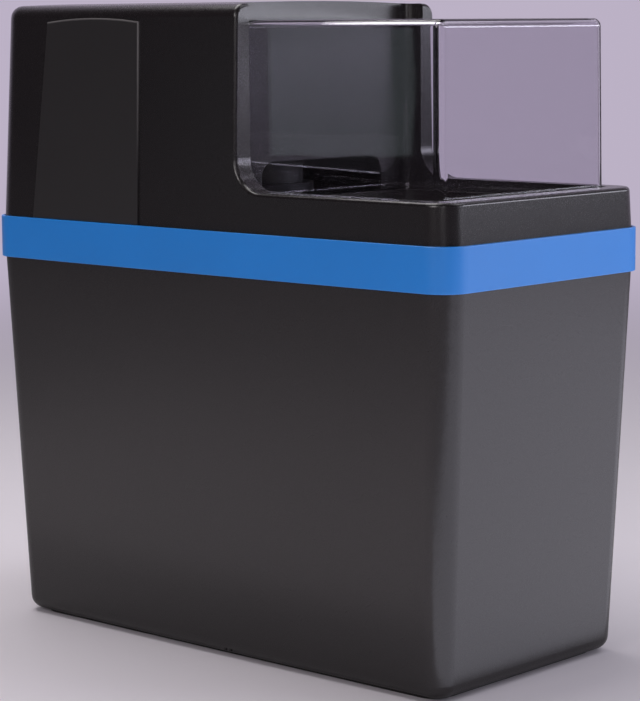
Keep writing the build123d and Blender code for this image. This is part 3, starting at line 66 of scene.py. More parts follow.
def moulded_grain_group():
    """Grain of a moulded skin. A fine noise lifts the surface and scatters its roughness about the given
    value. A broad soft noise scales the colour up and down by the drift, as flow in the mould does."""
    group = bpy.data.node_groups.new("Moulded grain", "ShaderNodeTree")
    new_sockets(group,
                (("Colour", "Color", (0.05, 0.05, 0.05, 1)), ("Grains per metre", "Float", 1500.0),
                 ("Grain depth", "Float", 0.00004), ("Roughness", "Float", 0.4), ("Drift", "Float", 0.05)),
                (("Colour", "Color"), ("Roughness", "Float"), ("Normal", "Vector")))
    new, link = group.nodes.new, group.links.new
    given, made = new("NodeGroupInput"), new("NodeGroupOutput")
    place = new("ShaderNodeTexCoord")
    fine, broad = new("ShaderNodeTexNoise"), new("ShaderNodeTexNoise")
    fine.inputs["Detail"].default_value = 2.0
    fine.inputs["Roughness"].default_value = 0.6
    broad.inputs["Scale"].default_value = FLOWS_PER_METRE
    broad.inputs["Detail"].default_value = 3.0
    link(place.outputs["Object"], fine.inputs["Vector"])
    link(place.outputs["Object"], broad.inputs["Vector"])
    link(given.outputs["Grains per metre"], fine.inputs["Scale"])
    bump = new("ShaderNodeBump")
    link(given.outputs["Grain depth"], bump.inputs["Distance"])
    link(fine.outputs["Fac"], bump.inputs["Height"])
    link(bump.outputs["Normal"], made.inputs["Normal"])
    lower, scatter = new("ShaderNodeMath"), new("ShaderNodeMath")
    lower.operation, scatter.operation = "SUBTRACT", "MULTIPLY_ADD"
    lower.inputs[1].default_value = ROUGHNESS_SCATTER / 2
    scatter.inputs[1].default_value = ROUGHNESS_SCATTER
    link(given.outputs["Roughness"], lower.inputs[0])
    link(fine.outputs["Fac"], scatter.inputs[0])
    link(lower.outputs[0], scatter.inputs[2])
    link(scatter.outputs[0], made.inputs["Roughness"])
    low, high = new("ShaderNodeMath"), new("ShaderNodeMath")
    low.operation, high.operation = "SUBTRACT", "ADD"
    low.inputs[0].default_value, high.inputs[0].default_value = 1.0, 1.0
    link(given.outputs["Drift"], low.inputs[1])
    link(given.outputs["Drift"], high.inputs[1])
    spread = new("ShaderNodeMapRange")
    spread.inputs["From Min"].default_value = FLOW_LOW
    spread.inputs["From Max"].default_value = FLOW_HIGH
    link(broad.outputs["Fac"], spread.inputs["Value"])
    link(low.outputs[0], spread.inputs["To Min"])
    link(high.outputs[0], spread.inputs["To Max"])
    shade = new("ShaderNodeVectorMath")
    shade.operation = "SCALE"
    link(given.outputs["Colour"], shade.inputs[0])
    link(spread.outputs["Result"], shade.inputs["Scale"])
    link(shade.outputs["Vector"], made.inputs["Colour"])
    return group


moulded_grain = moulded_grain_group()


def grained(name, colour, roughness, grains=900.0, depth=0.00003, drift=0.05, specular=0.5):
    """A Principled material whose colour, roughness and normal come from the grain group."""
    material = bpy.data.materials.new(name)
    material.use_nodes = True
    tree = material.node_tree
    shader = tree.nodes["Principled BSDF"]
    shader.inputs["Specular IOR Level"].default_value = specular
    grain = tree.nodes.new("ShaderNodeGroup")
    grain.name = "Grain"
    grain.node_tree = moulded_grain
    grain.inputs["Colour"].default_value = (*colour, 1)
    grain.inputs["Grains per metre"].default_value = grains
    grain.inputs["Grain depth"].default_value = depth
    grain.inputs["Roughness"].default_value = roughness
    grain.inputs["Drift"].default_value = drift
    tree.links.new(grain.outputs["Colour"], shader.inputs["Base Color"])
    tree.links.new(grain.outputs["Roughness"], shader.inputs["Roughness"])
    tree.links.new(grain.outputs["Normal"], shader.inputs["Normal"])
    return material


def dress(material, *names):
    """Gives one finish to pieces of the frame."""
    for name in names:
        nodes[name].material_slots[0].material = material


anthracite = grained("Anthracite moulding", (0.0134, 0.0108, 0.0120), 0.26, grains=1500.0, depth=0.00001,
                     specular=0.8)
dress(anthracite, "cabinet_tub")

# Overflow grommet: a black rubber ring sprung into the hole high in the tub's rear wall.
# Its skin is matt from the mould, with no gloss.
rubber = grained("Black rubber", (0.018, 0.018, 0.018), 0.66, grains=1200.0)
dress(rubber, "overflow_grommet")

# Divider and salt platform: natural white polypropylene mouldings. The divider slides down between ribs of
# the tub and parts the salt from the cylinders. The platform holds the salt up on its own legs.
natural_white = grained("Natural polypropylene", (0.62, 0.62, 0.585), 0.42, drift=0.03)
dress(natural_white, "divider_panel", "salt_platform")

# Resin cylinders and their beds: two blow-moulded vessels filled with amber beads of ion-exchange resin.
# Real beads are mostly under a millimetre across. A lumpy grain of about a millimetre stands for them.
tank_skin = grained("Tank moulding", (0.055, 0.058, 0.062), 0.38, grains=700.0, depth=0.00005)
dress(tank_skin, "front_cylinder", "rear_cylinder")
resin = grained("Resin beads", (0.42, 0.20, 0.05), 0.5, depth=0.0005, drift=0.25)
dress(resin, "front_resin_bed", "rear_resin_bed")

# Risers and strainers: a white tube down the middle of each cylinder, with slotted grey ends.
# They are pushed together and held by the vessel.
dress(natural_white, "riser_tubes")
light_grey = grained("Light grey moulding", (0.26, 0.27, 0.28), 0.45)
dress(light_grey, "lower_strainers", "upper_strainers")

# Neck seals and clamps: a rubber ring in each flange, and a pressed steel channel drawn tight by bolts.
# The channels are given a near-black colour as painted shade, so that none of them shines through the cover's
# slot, where the cabinet's inside lies in shade. The bolts are bright stainless steel.
dress(rubber, "neck_seals")


def turned_metal(name, colour, roughness):
    """Metal with the same grain group, finer and shallower, on a metallic shader."""
    material = grained(name, colour, roughness, grains=2500.0, depth=0.000015, drift=0.04)
    material.node_tree.nodes["Principled BSDF"].inputs["Metallic"].default_value = 1.0
    return material


stainless = turned_metal("Stainless steel", (0.56, 0.56, 0.57), 0.3)
shade_dark_steel = turned_metal("Steel painted dark as shade", (0.045, 0.045, 0.048), 0.5)
# Painted shade: the clamps' steel is near black, so that they stay dark behind the cover's slot.
dress(shade_dark_steel, "front_neck_clamp", "rear_neck_clamp")
dress(stainless, "clamp_bolts")

# Valve manifold: one black glass-filled moulding that joins the two necks, the ports and the valve.
# The glass fibre leaves a dull skin with pale flow marks.
glass_filled = grained("Glass-filled black", (0.022, 0.022, 0.024), 0.52, grains=1100.0, depth=0.00006,
                       drift=0.18)
dress(glass_filled, "valve_manifold")

# Hose adaptors: turned brass, each with a sealed spigot, a hexagon collar and a 3/4 inch pipe thread.
# A rubber ring seals each in its socket and a spring wire clip holds it there. A barred steel disc is pressed
# into the mouth of the inlet.
brass = turned_metal("Brass", (0.62, 0.46, 0.20), 0.24)
dress(rubber, "adaptor_seals")
dress(stainless, "adaptor_clips", "inlet_strainer")
THREAD_PITCH, THREAD_DEPTH, THREAD_FLATS = 0.001814, 0.001162, 0.15
THREAD_FADE_IN, THREAD_FADE_OUT = 0.0022, 0.0016
ROWS_PER_PITCH, ADAPTOR_COLUMNS = 10, 72
CORNER_CHAMFER = 1.12
PORT_REACH, PORT_HEIGHT = 0.034, 0.375
SPIGOT_END, COLLAR_START, COLLAR_END, TAIL_END = 0.2053, 0.219, 0.225, 0.240
SEAL_GROOVE, CLIP_GROOVE = (0.2063, 0.2087), (0.2103, 0.2137)
BORE, SPIGOT, GROOVE_FLOOR, FLATS, PIPE = 0.0075, 0.011, 0.0093, 0.0147, 0.0132


def add_surface(name, points, faces, material, body, stands_for=None):
    """Puts a worked-out surface into the scene, riding on a body and finished in the given material."""
    mesh = bpy.data.meshes.new(name)
    mesh.from_pydata(points.tolist(), [], faces)
    mesh.polygons.foreach_set("use_smooth", np.full(len(mesh.polygons), True))
    mesh.materials.append(material)
    piece = bpy.data.objects.new(name, mesh)
    bpy.context.scene.collection.objects.link(piece)
    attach(piece, body)
    if stands_for:
        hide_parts(stands_for)
    return piece


def ring_faces(rows, columns, closed):
    """Quads between neighbouring rows of a grid whose columns run round, and round the rows too if closed.

    They point outwards where the columns turn to the right as seen along the way that the rows go."""
    row, column = np.meshgrid(np.arange(rows if closed else rows - 1), np.arange(columns), indexing="ij")
    after, beside = (row + 1) % rows, (column + 1) % columns
    quads = np.stack([row * columns + column, row * columns + beside,
                      after * columns + beside, after * columns + column], axis=-1)
    return quads.reshape(-1, 4).tolist()


def turned_tail(x, along, radius, hexagon, thread, columns):
    """Points of a body turned about a line along Y, at the given x and the ports' height.

    Row i lies at y = along[i] and has radius[i]. Where hexagon[i] is 1 the radius grows to the flat sides of
    a hexagon of that apothem, cut back to its corner chamfer. Elsewhere it drops by thread[i] times the
    thread's depth times a wave of (y / pitch - angle / full turn), which makes one helix. The wave is a
    triangle, cut flat at crest and root and rounded by a smooth step."""
    angle = np.linspace(0, 2 * np.pi, columns, endpoint=False)
    y, r = along[:, None], radius[:, None]
    off_flat = (angle + np.pi / 6) % (np.pi / 3) - np.pi / 6
    six_sided = np.minimum(r / np.cos(off_flat), r * CORNER_CHAMFER)
    phase = (y / THREAD_PITCH - angle / (2 * np.pi)) % 1.0
    wave = np.clip(np.abs(2 * phase - 1) * (1 + 2 * THREAD_FLATS) - THREAD_FLATS, 0, 1)
    wave = wave * wave * (3 - 2 * wave)
    r = np.where(hexagon[:, None] > 0, six_sided, r - thread[:, None] * THREAD_DEPTH * wave)
    points = np.stack([x + r * np.sin(angle), y + 0 * r, PORT_HEIGHT + r * np.cos(angle)], axis=-1)
    return points.reshape(-1, 3)


def hose_adaptor(name, x):
    """One adaptor. The stations of its section, each a radius and a place along, are carried round. They run
    out along the skin, over the two grooves, the collar and the thread, and back down the bore."""
    spigot = [(BORE, SPIGOT_END), (SPIGOT - 0.0005, SPIGOT_END), (SPIGOT, SPIGOT_END + 0.0005)]
    for start, end in (SEAL_GROOVE, CLIP_GROOVE):
        spigot += [(SPIGOT, start), (GROOVE_FLOOR, start), (GROOVE_FLOOR, end), (SPIGOT, end)]
    spigot += [(SPIGOT, COLLAR_START), (FLATS - 0.0012, COLLAR_START)]
    collar = [(FLATS - 0.0001, COLLAR_START), (FLATS, COLLAR_START + 0.0008), (FLATS, COLLAR_END - 0.0008),
              (FLATS - 0.0004, COLLAR_END - 0.0001)]
    shoulder = [(FLATS - 0.0011, COLLAR_END), (PIPE - 0.0011, COLLAR_END),
                (PIPE - 0.0011, COLLAR_END + 0.0005)]
    threads = np.arange(COLLAR_END + 0.0006, TAIL_END - 0.0011, THREAD_PITCH / ROWS_PER_PITCH)
    helix = np.stack([np.full_like(threads, PIPE), threads], axis=1)
    mouth = [(PIPE - 0.0008, TAIL_END - 0.0009), (PIPE - 0.0015, TAIL_END), (BORE + 0.0006, TAIL_END),
             (BORE, TAIL_END - 0.0006), (BORE, (SPIGOT_END + TAIL_END) / 2)]
    parts = (spigot, collar, shoulder, helix, mouth)
    lengths = [len(part) for part in parts]
    radius, along = np.concatenate(parts).T
    hexagon = np.repeat([0, 1, 0, 0, 0], lengths)
    thread = np.repeat([0.0, 0.0, 0.0, 1.0, 0.0], lengths)
    thread *= np.clip((along - COLLAR_END) / THREAD_FADE_IN, 0, 1)
    thread *= np.clip((TAIL_END - along) / THREAD_FADE_OUT, 0, 1)
    points = turned_tail(x, along, radius, hexagon, thread, ADAPTOR_COLUMNS)
    return add_surface(name, points, ring_faces(len(along), ADAPTOR_COLUMNS, True), brass, "cabinet")


for side, label in ((-1, "inlet"), (1, "outlet")):
    tail = hose_adaptor(label + "_tail", side * PORT_REACH)
    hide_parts(label + "_adaptor")

# Drain spigot: a black moulded hose tail with three barbs, pushed into the middle socket.
# Each barb rises slowly and drops sharply, so the drain tube slides on and stays on.
BARBS, BARB_START, BARB_PITCH = 3, 0.2262, 0.0042
BARB_ALONG, BARB_RADIUS = np.array([0, 0.0030, 0.0034, 0.0037]), np.array([0.0064, 0.0055, 0.0054, 0.0056])
DRAIN_BORE, DRAIN_SPIGOT, DRAIN_COLLAR, DRAIN_TUBE = 0.004, 0.0063, 0.009, 0.0056
DRAIN_MIDDLE, DRAIN_COLUMNS = 0.2225, 48
barb = np.arange(BARBS)[:, None]
barb_rows = np.stack([0 * barb + BARB_RADIUS, BARB_START + BARB_PITCH * barb + BARB_ALONG], axis=-1)
drain_skin = [(DRAIN_BORE, SPIGOT_END), (DRAIN_SPIGOT - 0.0003, SPIGOT_END),
              (DRAIN_SPIGOT, SPIGOT_END + 0.0003), (DRAIN_SPIGOT, COLLAR_START),
              (DRAIN_COLLAR - 0.0002, COLLAR_START), (DRAIN_COLLAR, COLLAR_START + 0.0003),
              (DRAIN_COLLAR, COLLAR_END - 0.0003), (DRAIN_COLLAR - 0.0002, COLLAR_END),
              (DRAIN_TUBE, COLLAR_END), (DRAIN_TUBE, BARB_START - 0.0001)]
drain_mouth = [(DRAIN_TUBE + 0.0002, TAIL_END - 0.0012), (DRAIN_TUBE - 0.0004, TAIL_END),
               (DRAIN_BORE + 0.0003, TAIL_END), (DRAIN_BORE, TAIL_END - 0.0003), (DRAIN_BORE, DRAIN_MIDDLE)]
drain_radius, drain_along = np.concatenate([drain_skin, barb_rows.reshape(-1, 2), drain_mouth]).T
plain = np.zeros(len(drain_along))
drain_points = turned_tail(0.0, drain_along, drain_radius, plain, plain, DRAIN_COLUMNS)
drain_faces = ring_faces(len(drain_along), DRAIN_COLUMNS, True)
add_surface("drain_tail", drain_points, drain_faces, glass_filled, "cabinet", "drain_spigot")

# Gear case: a black pan on the manifold with a rubber gasket, a grey lid and small cross-slot screws.
# The lid's raised ring is marked for the five positions of the control disc.
dress(glass_filled, "gear_case")
dress(rubber, "gear_case_gasket")
mid_grey = grained("Mid grey moulding", (0.15, 0.155, 0.162), 0.46)
dress(mid_grey, "gear_case_lid")
dress(stainless, "gear_case_screws")

# Gears, discs and turbine: ivory acetal wheels on ground steel pins, over a lapped ceramic port disc.
# Acetal is a little waxy, and the ceramic nearly polished. The turbine's shaft turns in a brass bush.
acetal = grained("Acetal", (0.70, 0.69, 0.63), 0.34, depth=0.00001, drift=0.03)
dress(acetal, "control_gear", "first_gear", "second_gear", "turbine_rotor", "turbine_pinion")
ceramic = grained("Ceramic", (0.74, 0.73, 0.69), 0.2, grains=500.0, depth=0.000005, drift=0.02)
dress(ceramic, "port_disc")
dress(stainless, "gear_pins", "turbine_shaft")
dress(brass, "turbine_bush")

# Advance knob: a fluted moulding on the control disc's spindle, in a blue close to the band's.
# It is turned by hand to start a wash early, and its flutes give grip.
knob_blue = grained("Knob blue", (0.012, 0.20, 0.70), 0.36, grains=1500.0, depth=0.00002, drift=0.03)
dress(knob_blue, "advance_knob")

# Brine well, valve, float and pick-up: a white tube beside the cylinders with a grey valve on top.
# The float is white closed-cell foam on a grey rod, and a soft hose leads over to the manifold.
dress(natural_white, "brine_well")
dress(light_grey, "float_rod", "pickup_tube", "pickup_strainer")
dress(mid_grey, "brine_valve")
foam = grained("Float foam", (0.80, 0.80, 0.77), 0.6, grains=700.0, depth=0.0001, drift=0.03)
dress(foam, "brine_float")
soft_hose = grained("Soft hose", (0.50, 0.53, 0.55), 0.4, depth=0.00002)
dress(soft_hose, "brine_hose")

# Trim band: a blue moulded hoop round the joint, with an inner rib pinched between the rims of tub and cover.
# It goes on before the cover does. Its grain is finer than its neighbours', and it has a satin gloss.
band_blue = grained("Blue band", (0.005, 0.248, 0.80), 0.37, grains=2200.0, depth=0.00001, drift=0.03,
                    specular=1.0)
dress(band_blue, "trim_band")

# Top cover: the stepped upper moulding, in the tub's material and grain.
# A lip round its foot drops inside the tub's rim, and the salt goes in through the mouth under its lid.
dress(anthracite, "top_cover")

# Side plate: a thin bare plate on the cover's side, moulded a shade lighter and a little rougher.
# It is bonded into its place, and its rounded edge stands a little over a millimetre proud. A pale highlight
# is painted along its front and top edges, where the rounded edge catches the lamps.
# The pale colour and the widths below paint a highlight along the plate's front and top edges.
PLATE_SKIN, PLATE_HIGHLIGHT = (0.0215, 0.0190, 0.0200), (0.22, 0.21, 0.21)
PLATE_HALF_TOP, PLATE_ARCH = 0.0525, 0.003
HIGHLIGHT_WIDTH, HIGHLIGHT_FOOT, HIGHLIGHT_RISE = 0.0015, 0.37, 0.10
plate_low, plate_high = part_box("side_plate")
plate_skin = grained("Side plate skin", PLATE_SKIN, 0.34, grains=1500.0, depth=0.00002, specular=0.9)
dress(plate_skin, "side_plate")


def joined(tree, operation, first, second, clamp=True):
    """A Math node in a tree, fed by two sockets or numbers. Returns its output socket."""
    node = tree.nodes.new("ShaderNodeMath")
    node.operation = operation
    node.use_clamp = clamp
    for socket, given in zip(node.inputs, (first, second)):
        if isinstance(given, float):
            socket.default_value = given
        else:
            tree.links.new(given, socket)
    return node.outputs[0]


def painted_edge_highlight(tree):
    """Painted highlight along the plate's front and top edges: 1 at the outline, falling to 0 a highlight width
    inside it.

    The arched top drops by the arch's height times the square of the distance from its middle, as a share of
    half its length. Lower down the front edge the painted highlight fades, as the light from above reaches it
    less."""
    place, parts = tree.nodes.new("ShaderNodeTexCoord"), tree.nodes.new("ShaderNodeSeparateXYZ")
    tree.links.new(place.outputs["Object"], parts.inputs[0])
    y, z = parts.outputs["Y"], parts.outputs["Z"]
    offset = joined(tree, "SUBTRACT", y, plate_low[1] + PLATE_HALF_TOP, False)
    square = joined(tree, "MULTIPLY", offset, offset, False)
    drop = joined(tree, "MULTIPLY", square, PLATE_ARCH / PLATE_HALF_TOP ** 2, False)
    below_top = joined(tree, "SUBTRACT", joined(tree, "SUBTRACT", plate_high[2], drop, False), z, False)
    behind_front = joined(tree, "SUBTRACT", y, plate_low[1], False)
    nearest = joined(tree, "MINIMUM", below_top, behind_front, False)
    highlit = joined(tree, "SUBTRACT", 1.0, joined(tree, "DIVIDE", nearest, HIGHLIGHT_WIDTH))
    height = joined(tree, "DIVIDE", joined(tree, "SUBTRACT", z, HIGHLIGHT_FOOT, False), HIGHLIGHT_RISE)
    return joined(tree, "MULTIPLY", highlit, height)


tree = plate_skin.node_tree
# Painted highlight: the plate's colour is mixed towards pale grey along its front and top edges.
highlight_mix = tree.nodes.new("ShaderNodeMix")
highlight_mix.data_type = "RGBA"
skin_colour, highlight_colour = highlight_mix.inputs[6], highlight_mix.inputs[7]
highlight_colour.default_value = (*PLATE_HIGHLIGHT, 1)
tree.links.new(tree.nodes["Grain"].outputs["Colour"], skin_colour)
tree.links.new(painted_edge_highlight(tree), highlight_mix.inputs["Factor"])
tree.links.new(highlight_mix.outputs[2], tree.nodes["Principled BSDF"].inputs["Base Color"])

# Clear lid: one injection-moulded box of lightly smoked acrylic, open below, drafted for its mould.
# It stands in the cover's recess and lifts straight out. Its walls wave by a hundredth of a millimetre.
LID_FOOT, LID_TOP, LID_WALL, LID_CORNER = 0.3503, 0.4855, 0.003, 0.007
SIDE_DRAFT, BACK_DRAFT = np.radians([0.6, 0.9])
OUTER_ROUND, INNER_ROUND, FOOT_ROUND, SHARPEST_CORNER = 0.006, 0.003, 0.0005, 0.0004
LOWEST_ROW, ROW_BEFORE_ROUND, COLUMN_BEFORE_CORNER = 0.0004, 0.0002, 0.997
WALL_ROWS, ROUND_ROWS, TOP_ROWS, CORNER_COLUMNS, SIDE_COLUMNS = 26, 6, 12, 9, 24
LID_WAVE = 0.00001
ACRYLIC_TINT, ACRYLIC_INDEX = (0.865, 0.85, 0.89), 1.49
CLEAN_ROUGHNESS, SMEARED_ROUGHNESS = 0.012, 0.035
lid_low, lid_high = (np.array(corner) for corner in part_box("clear_lid"))


def lid_section(inset, top, round_radius):
    """Stations (rise above the foot, inset) up one skin: a straight wall, then a quarter round. A station
    just before the round keeps the wall's shading flat."""
    wall_top = top - round_radius
    wall = np.append(np.linspace(LOWEST_ROW, wall_top - ROW_BEFORE_ROUND, WALL_ROWS), wall_top)
    turn = np.linspace(0, np.pi / 2, ROUND_ROWS + 1)[1:]
    rise = np.concatenate([wall, wall_top + round_radius * np.sin(turn)])
    inwards = np.concatenate([0 * wall, round_radius * (1 - np.cos(turn))]) + inset
    return rise, inwards


def lid_rings(rise, inwards):
    """Rounded rectangles, one for each station. Every side leans in with height by the mould's draft. A ring
    is the four corner centres, joined by straight runs, plus the corner radius times a turning unit vector.
    The walls then wave along that vector by a small length times the product of two sines of the place."""
    arc = np.linspace(0, np.pi / 2, CORNER_COLUMNS)
    between = np.linspace(1, -1, SIDE_COLUMNS)[1:-1]
    share = (1 - np.concatenate([[COLUMN_BEFORE_CORNER], between, [-COLUMN_BEFORE_CORNER]])) / 2
    signs = [(1, 1), (-1, 1), (-1, -1), (1, -1)]
    centre_x, centre_y, unit_x, unit_y = [], [], [], []
    for quarter, (sx, sy) in enumerate(signs):
        turn = arc + quarter * np.pi / 2
        next_x, next_y = signs[(quarter + 1) % 4]
        centre_x += [np.full(CORNER_COLUMNS, sx), sx + (next_x - sx) * share]
        centre_y += [np.full(CORNER_COLUMNS, sy), sy + (next_y - sy) * share]
        unit_x += [np.cos(turn), np.full(SIDE_COLUMNS, np.cos(turn[-1]))]
        unit_y += [np.sin(turn), np.full(SIDE_COLUMNS, np.sin(turn[-1]))]
    centre_x, centre_y = np.concatenate(centre_x), np.concatenate(centre_y)
    unit_x, unit_y = np.concatenate(unit_x), np.concatenate(unit_y)
    lean, back_lean = rise * np.tan(SIDE_DRAFT), rise * np.tan(BACK_DRAFT)
    half_x = lid_high[0] - lean - inwards
    front = lid_low[1] + lean + inwards
    back = lid_high[1] - back_lean - inwards
    middle_y, half_y = (front + back) / 2, (back - front) / 2
    radius = np.maximum(LID_CORNER - inwards, SHARPEST_CORNER)
    x = centre_x * (half_x - radius)[:, None] + unit_x * radius[:, None]
    y = middle_y[:, None] + centre_y * (half_y - radius)[:, None] + unit_y * radius[:, None]
    z = LID_FOOT + rise[:, None] + 0 * x
    wave = LID_WAVE * np.sin(70 * z + 55 * y + 1.0) * np.sin(48 * x + 61 * y)
    return np.stack([x + wave * unit_x, y + wave * unit_y, z], axis=-1)


def lid_top_rings(ring):
    """The flat top: copies of a skin's last ring drawn in evenly towards its middle, and that middle."""
    middle = ring.mean(axis=0)
    share = 1 - np.linspace(0, 1, TOP_ROWS + 2)[1:-1, None, None]
    return middle + (ring - middle) * share, middle


lid_height = LID_TOP - LID_FOOT
outer = lid_rings(*lid_section(0.0, lid_height, OUTER_ROUND))
inner = lid_rings(*lid_section(LID_WALL, lid_height - LID_WALL, INNER_ROUND))
foot = lid_rings(np.array([0.0, 0.0]), np.array([LID_WALL - FOOT_ROUND, FOOT_ROUND]))
outer_top, outer_pole = lid_top_rings(outer[-1])
inner_top, inner_pole = lid_top_rings(inner[-1])
rings = np.concatenate([inner_top[::-1], inner[::-1], foot, outer, outer_top])
lid_columns = rings.shape[1]
lid_points = np.concatenate([rings.reshape(-1, 3), inner_pole[None], outer_pole[None]])
around = np.arange(lid_columns)
beside = (around + 1) % lid_columns
last_ring = (len(rings) - 1) * lid_columns
to_inner_pole = np.full(lid_columns, len(lid_points) - 2)
to_outer_pole = np.full(lid_columns, len(lid_points) - 1)
lid_faces = ring_faces(len(rings), lid_columns, False)
lid_faces += np.stack([beside, around, to_inner_pole], axis=1).tolist()
lid_faces += np.stack([last_ring + around, last_ring + beside, to_outer_pole], axis=1).tolist()


def smoked_acrylic():
    """Clear plastic: full transmission, an acrylic's index, and a slight violet smoke in its colour. A soft
    noise dulls the skin in patches, as smears of a wiping cloth do."""
    material = bpy.data.materials.new("Smoked acrylic")
    material.use_nodes = True
    tree = material.node_tree
    shader = tree.nodes["Principled BSDF"]
    shader.inputs["Base Color"].default_value = (*ACRYLIC_TINT, 1)
    shader.inputs["IOR"].default_value = ACRYLIC_INDEX
    shader.inputs["Transmission Weight"].default_value = 1.0
    place, smear = tree.nodes.new("ShaderNodeTexCoord"), tree.nodes.new("ShaderNodeTexNoise")
    smear.inputs["Scale"].default_value = 26.0
    smear.inputs["Detail"].default_value = 4.0
    dull = tree.nodes.new("ShaderNodeMapRange")
    dull.inputs["From Min"].default_value = 0.45
    dull.inputs["From Max"].default_value = 0.75
    dull.inputs["To Min"].default_value = CLEAN_ROUGHNESS
    dull.inputs["To Max"].default_value = SMEARED_ROUGHNESS
    tree.links.new(place.outputs["Object"], smear.inputs["Vector"])
    tree.links.new(smear.outputs["Fac"], dull.inputs["Value"])
    tree.links.new(dull.outputs["Result"], shader.inputs["Roughness"])
    return material


lid_clear = smoked_acrylic()
dress(lid_clear, "clear_lid")
lid_shell = add_surface("lid_shell", lid_points, lid_faces, lid_clear, "lid", "clear_lid")
lid_shell.visible_shadow = False

# Studio floor: a round pale floor that meets the backdrop's colour at its rim, so no horizon shows.
# The camera and clear plastic see that fade, and the light on the cabinet comes from the plain paint.
BACKDROP = (0.50, 0.44, 0.56)
LIT_PAINT, SHOWN_PAINT = (0.54, 0.512, 0.536), (0.84, 0.79, 0.85)
FLOOR_RADII, FLOOR_COLUMNS = np.array([6.0, 4.0, 2.5, 1.5, 1.0, 0.5]), 96
FADE_START, FADE_END = 0.6, 3.2
turn = np.linspace(0, 2 * np.pi, FLOOR_COLUMNS, endpoint=False)
radii = FLOOR_RADII[:, None]
floor_points = np.stack([radii * np.cos(turn), radii * np.sin(turn), 0 * radii * turn], axis=-1)
floor_points = np.concatenate([floor_points.reshape(-1, 3), [[0, 0, 0]]])
around = np.arange(FLOOR_COLUMNS)
beside = (around + 1) % FLOOR_COLUMNS
last_ring = (len(FLOOR_RADII) - 1) * FLOOR_COLUMNS
to_middle = np.full(FLOOR_COLUMNS, len(floor_points) - 1)
floor_faces = ring_faces(len(FLOOR_RADII), FLOOR_COLUMNS, False)
floor_faces += np.stack([last_ring + around, last_ring + beside, to_middle], axis=1).tolist()
floor_mesh = bpy.data.meshes.new("studio_floor")
floor_mesh.from_pydata(floor_points.tolist(), [], floor_faces)
studio_floor = bpy.data.objects.new("studio_floor", floor_mesh)
bpy.context.scene.collection.objects.link(studio_floor)
floor_paint = bpy.data.materials.new("Studio floor")
floor_paint.use_nodes = True
floor_mesh.materials.append(floor_paint)


def looks_straight(tree, path):
    """1 for rays of the camera, and for those that went only through clear plastic with no mirroring."""
    unmirrored = joined(tree, "LESS_THAN", path.outputs["Glossy Depth"], 0.5)
    through = joined(tree, "MULTIPLY", path.outputs["Is Transmission Ray"], unmirrored)
    return joined(tree, "ADD", path.outputs["Is Camera Ray"], through)


tree = floor_paint.node_tree
new, link = tree.nodes.new, tree.links.new
shader = tree.nodes["Principled BSDF"]
paint = new("ShaderNodeMix")
paint.data_type = "RGBA"
lit_paint, shown_paint = paint.inputs[6], paint.inputs[7]
lit_paint.default_value = (*LIT_PAINT, 1)
shown_paint.default_value = (*SHOWN_PAINT, 1)
link(paint.outputs[2], shader.inputs["Base Color"])
shader.inputs["Roughness"].default_value = 0.75
shader.inputs["Specular IOR Level"].default_value = 0.2
place, length, fade = new("ShaderNodeTexCoord"), new("ShaderNodeVectorMath"), new("ShaderNodeMapRange")
length.operation = "LENGTH"
fade.interpolation_type = "SMOOTHSTEP"
fade.inputs["From Min"].default_value = FADE_START
fade.inputs["From Max"].default_value = FADE_END
glow, mix = new("ShaderNodeEmission"), new("ShaderNodeMixShader")
glow.inputs["Color"].default_value = (*BACKDROP, 1)
link(place.outputs["Object"], length.inputs[0])
link(length.outputs["Value"], fade.inputs["Value"])
straight = looks_straight(tree, new("ShaderNodeLightPath"))
link(straight, paint.inputs["Factor"])
link(joined(tree, "MULTIPLY", straight, fade.outputs["Result"]), mix.inputs["Fac"])
link(shader.outputs[0], mix.inputs[1])
link(glow.outputs[0], mix.inputs[2])
link(mix.outputs[0], tree.nodes["Material Output"].inputs["Surface"])

# Backdrop: a pale paper screen behind the cabinet, in a studio that is dark round about.
# The camera and the clear plastic see the paper all round. Gloss sees it only behind the cabinet, where it
# hangs, and a weak sky lights what the lamps leave.
SKY, SKY_STRENGTH = (0.95, 0.95, 1.0), 0.15
SCREEN_WAY = (0.742, 0.670, 0.0)
SCREEN_EDGE, SCREEN_FULL, DARK_STUDIO = 0.25, 0.85, 0.03
world = bpy.data.worlds.new("Studio")
bpy.context.scene.world = world
world.use_nodes = True
tree = world.node_tree
new, link = tree.nodes.new, tree.links.new
sky = tree.nodes["Background"]
sky.inputs["Color"].default_value = (*SKY, 1)
sky.inputs["Strength"].default_value = SKY_STRENGTH
paper = new("ShaderNodeBackground")
paper.inputs["Color"].default_value = (*BACKDROP, 1)
path, mix = new("ShaderNodeLightPath"), new("ShaderNodeMixShader")
way, towards, hangs = new("ShaderNodeTexCoord"), new("ShaderNodeVectorMath"), new("ShaderNodeMapRange")
towards.operation = "DOT_PRODUCT"
towards.inputs[1].default_value = SCREEN_WAY
hangs.interpolation_type = "SMOOTHSTEP"
hangs.inputs["From Min"].default_value = SCREEN_EDGE
hangs.inputs["From Max"].default_value = SCREEN_FULL
hangs.inputs["To Min"].default_value = DARK_STUDIO
link(way.outputs["Generated"], towards.inputs[0])
link(towards.outputs["Value"], hangs.inputs["Value"])
link(joined(tree, "MAXIMUM", looks_straight(tree, path), hangs.outputs["Result"]), paper.inputs["Strength"])
seen = joined(tree, "ADD", path.outputs["Is Camera Ray"], path.outputs["Is Transmission Ray"])
link(joined(tree, "ADD", seen, path.outputs["Is Glossy Ray"]), mix.inputs["Fac"])
link(sky.outputs[0], mix.inputs[1])
link(paper.outputs[0], mix.inputs[2])
link(mix.outputs[0], tree.nodes["World Output"].inputs["Surface"])

# Lamps: eight soft boxes out of the camera's sight. On the right a raised panel and a floor board shine in
# the front's gloss, with the key above. On the left are a weak floor board, the fill and a box by the camera.
# One hangs overhead, and a small square one behind on the left is mirrored in the lid's side.


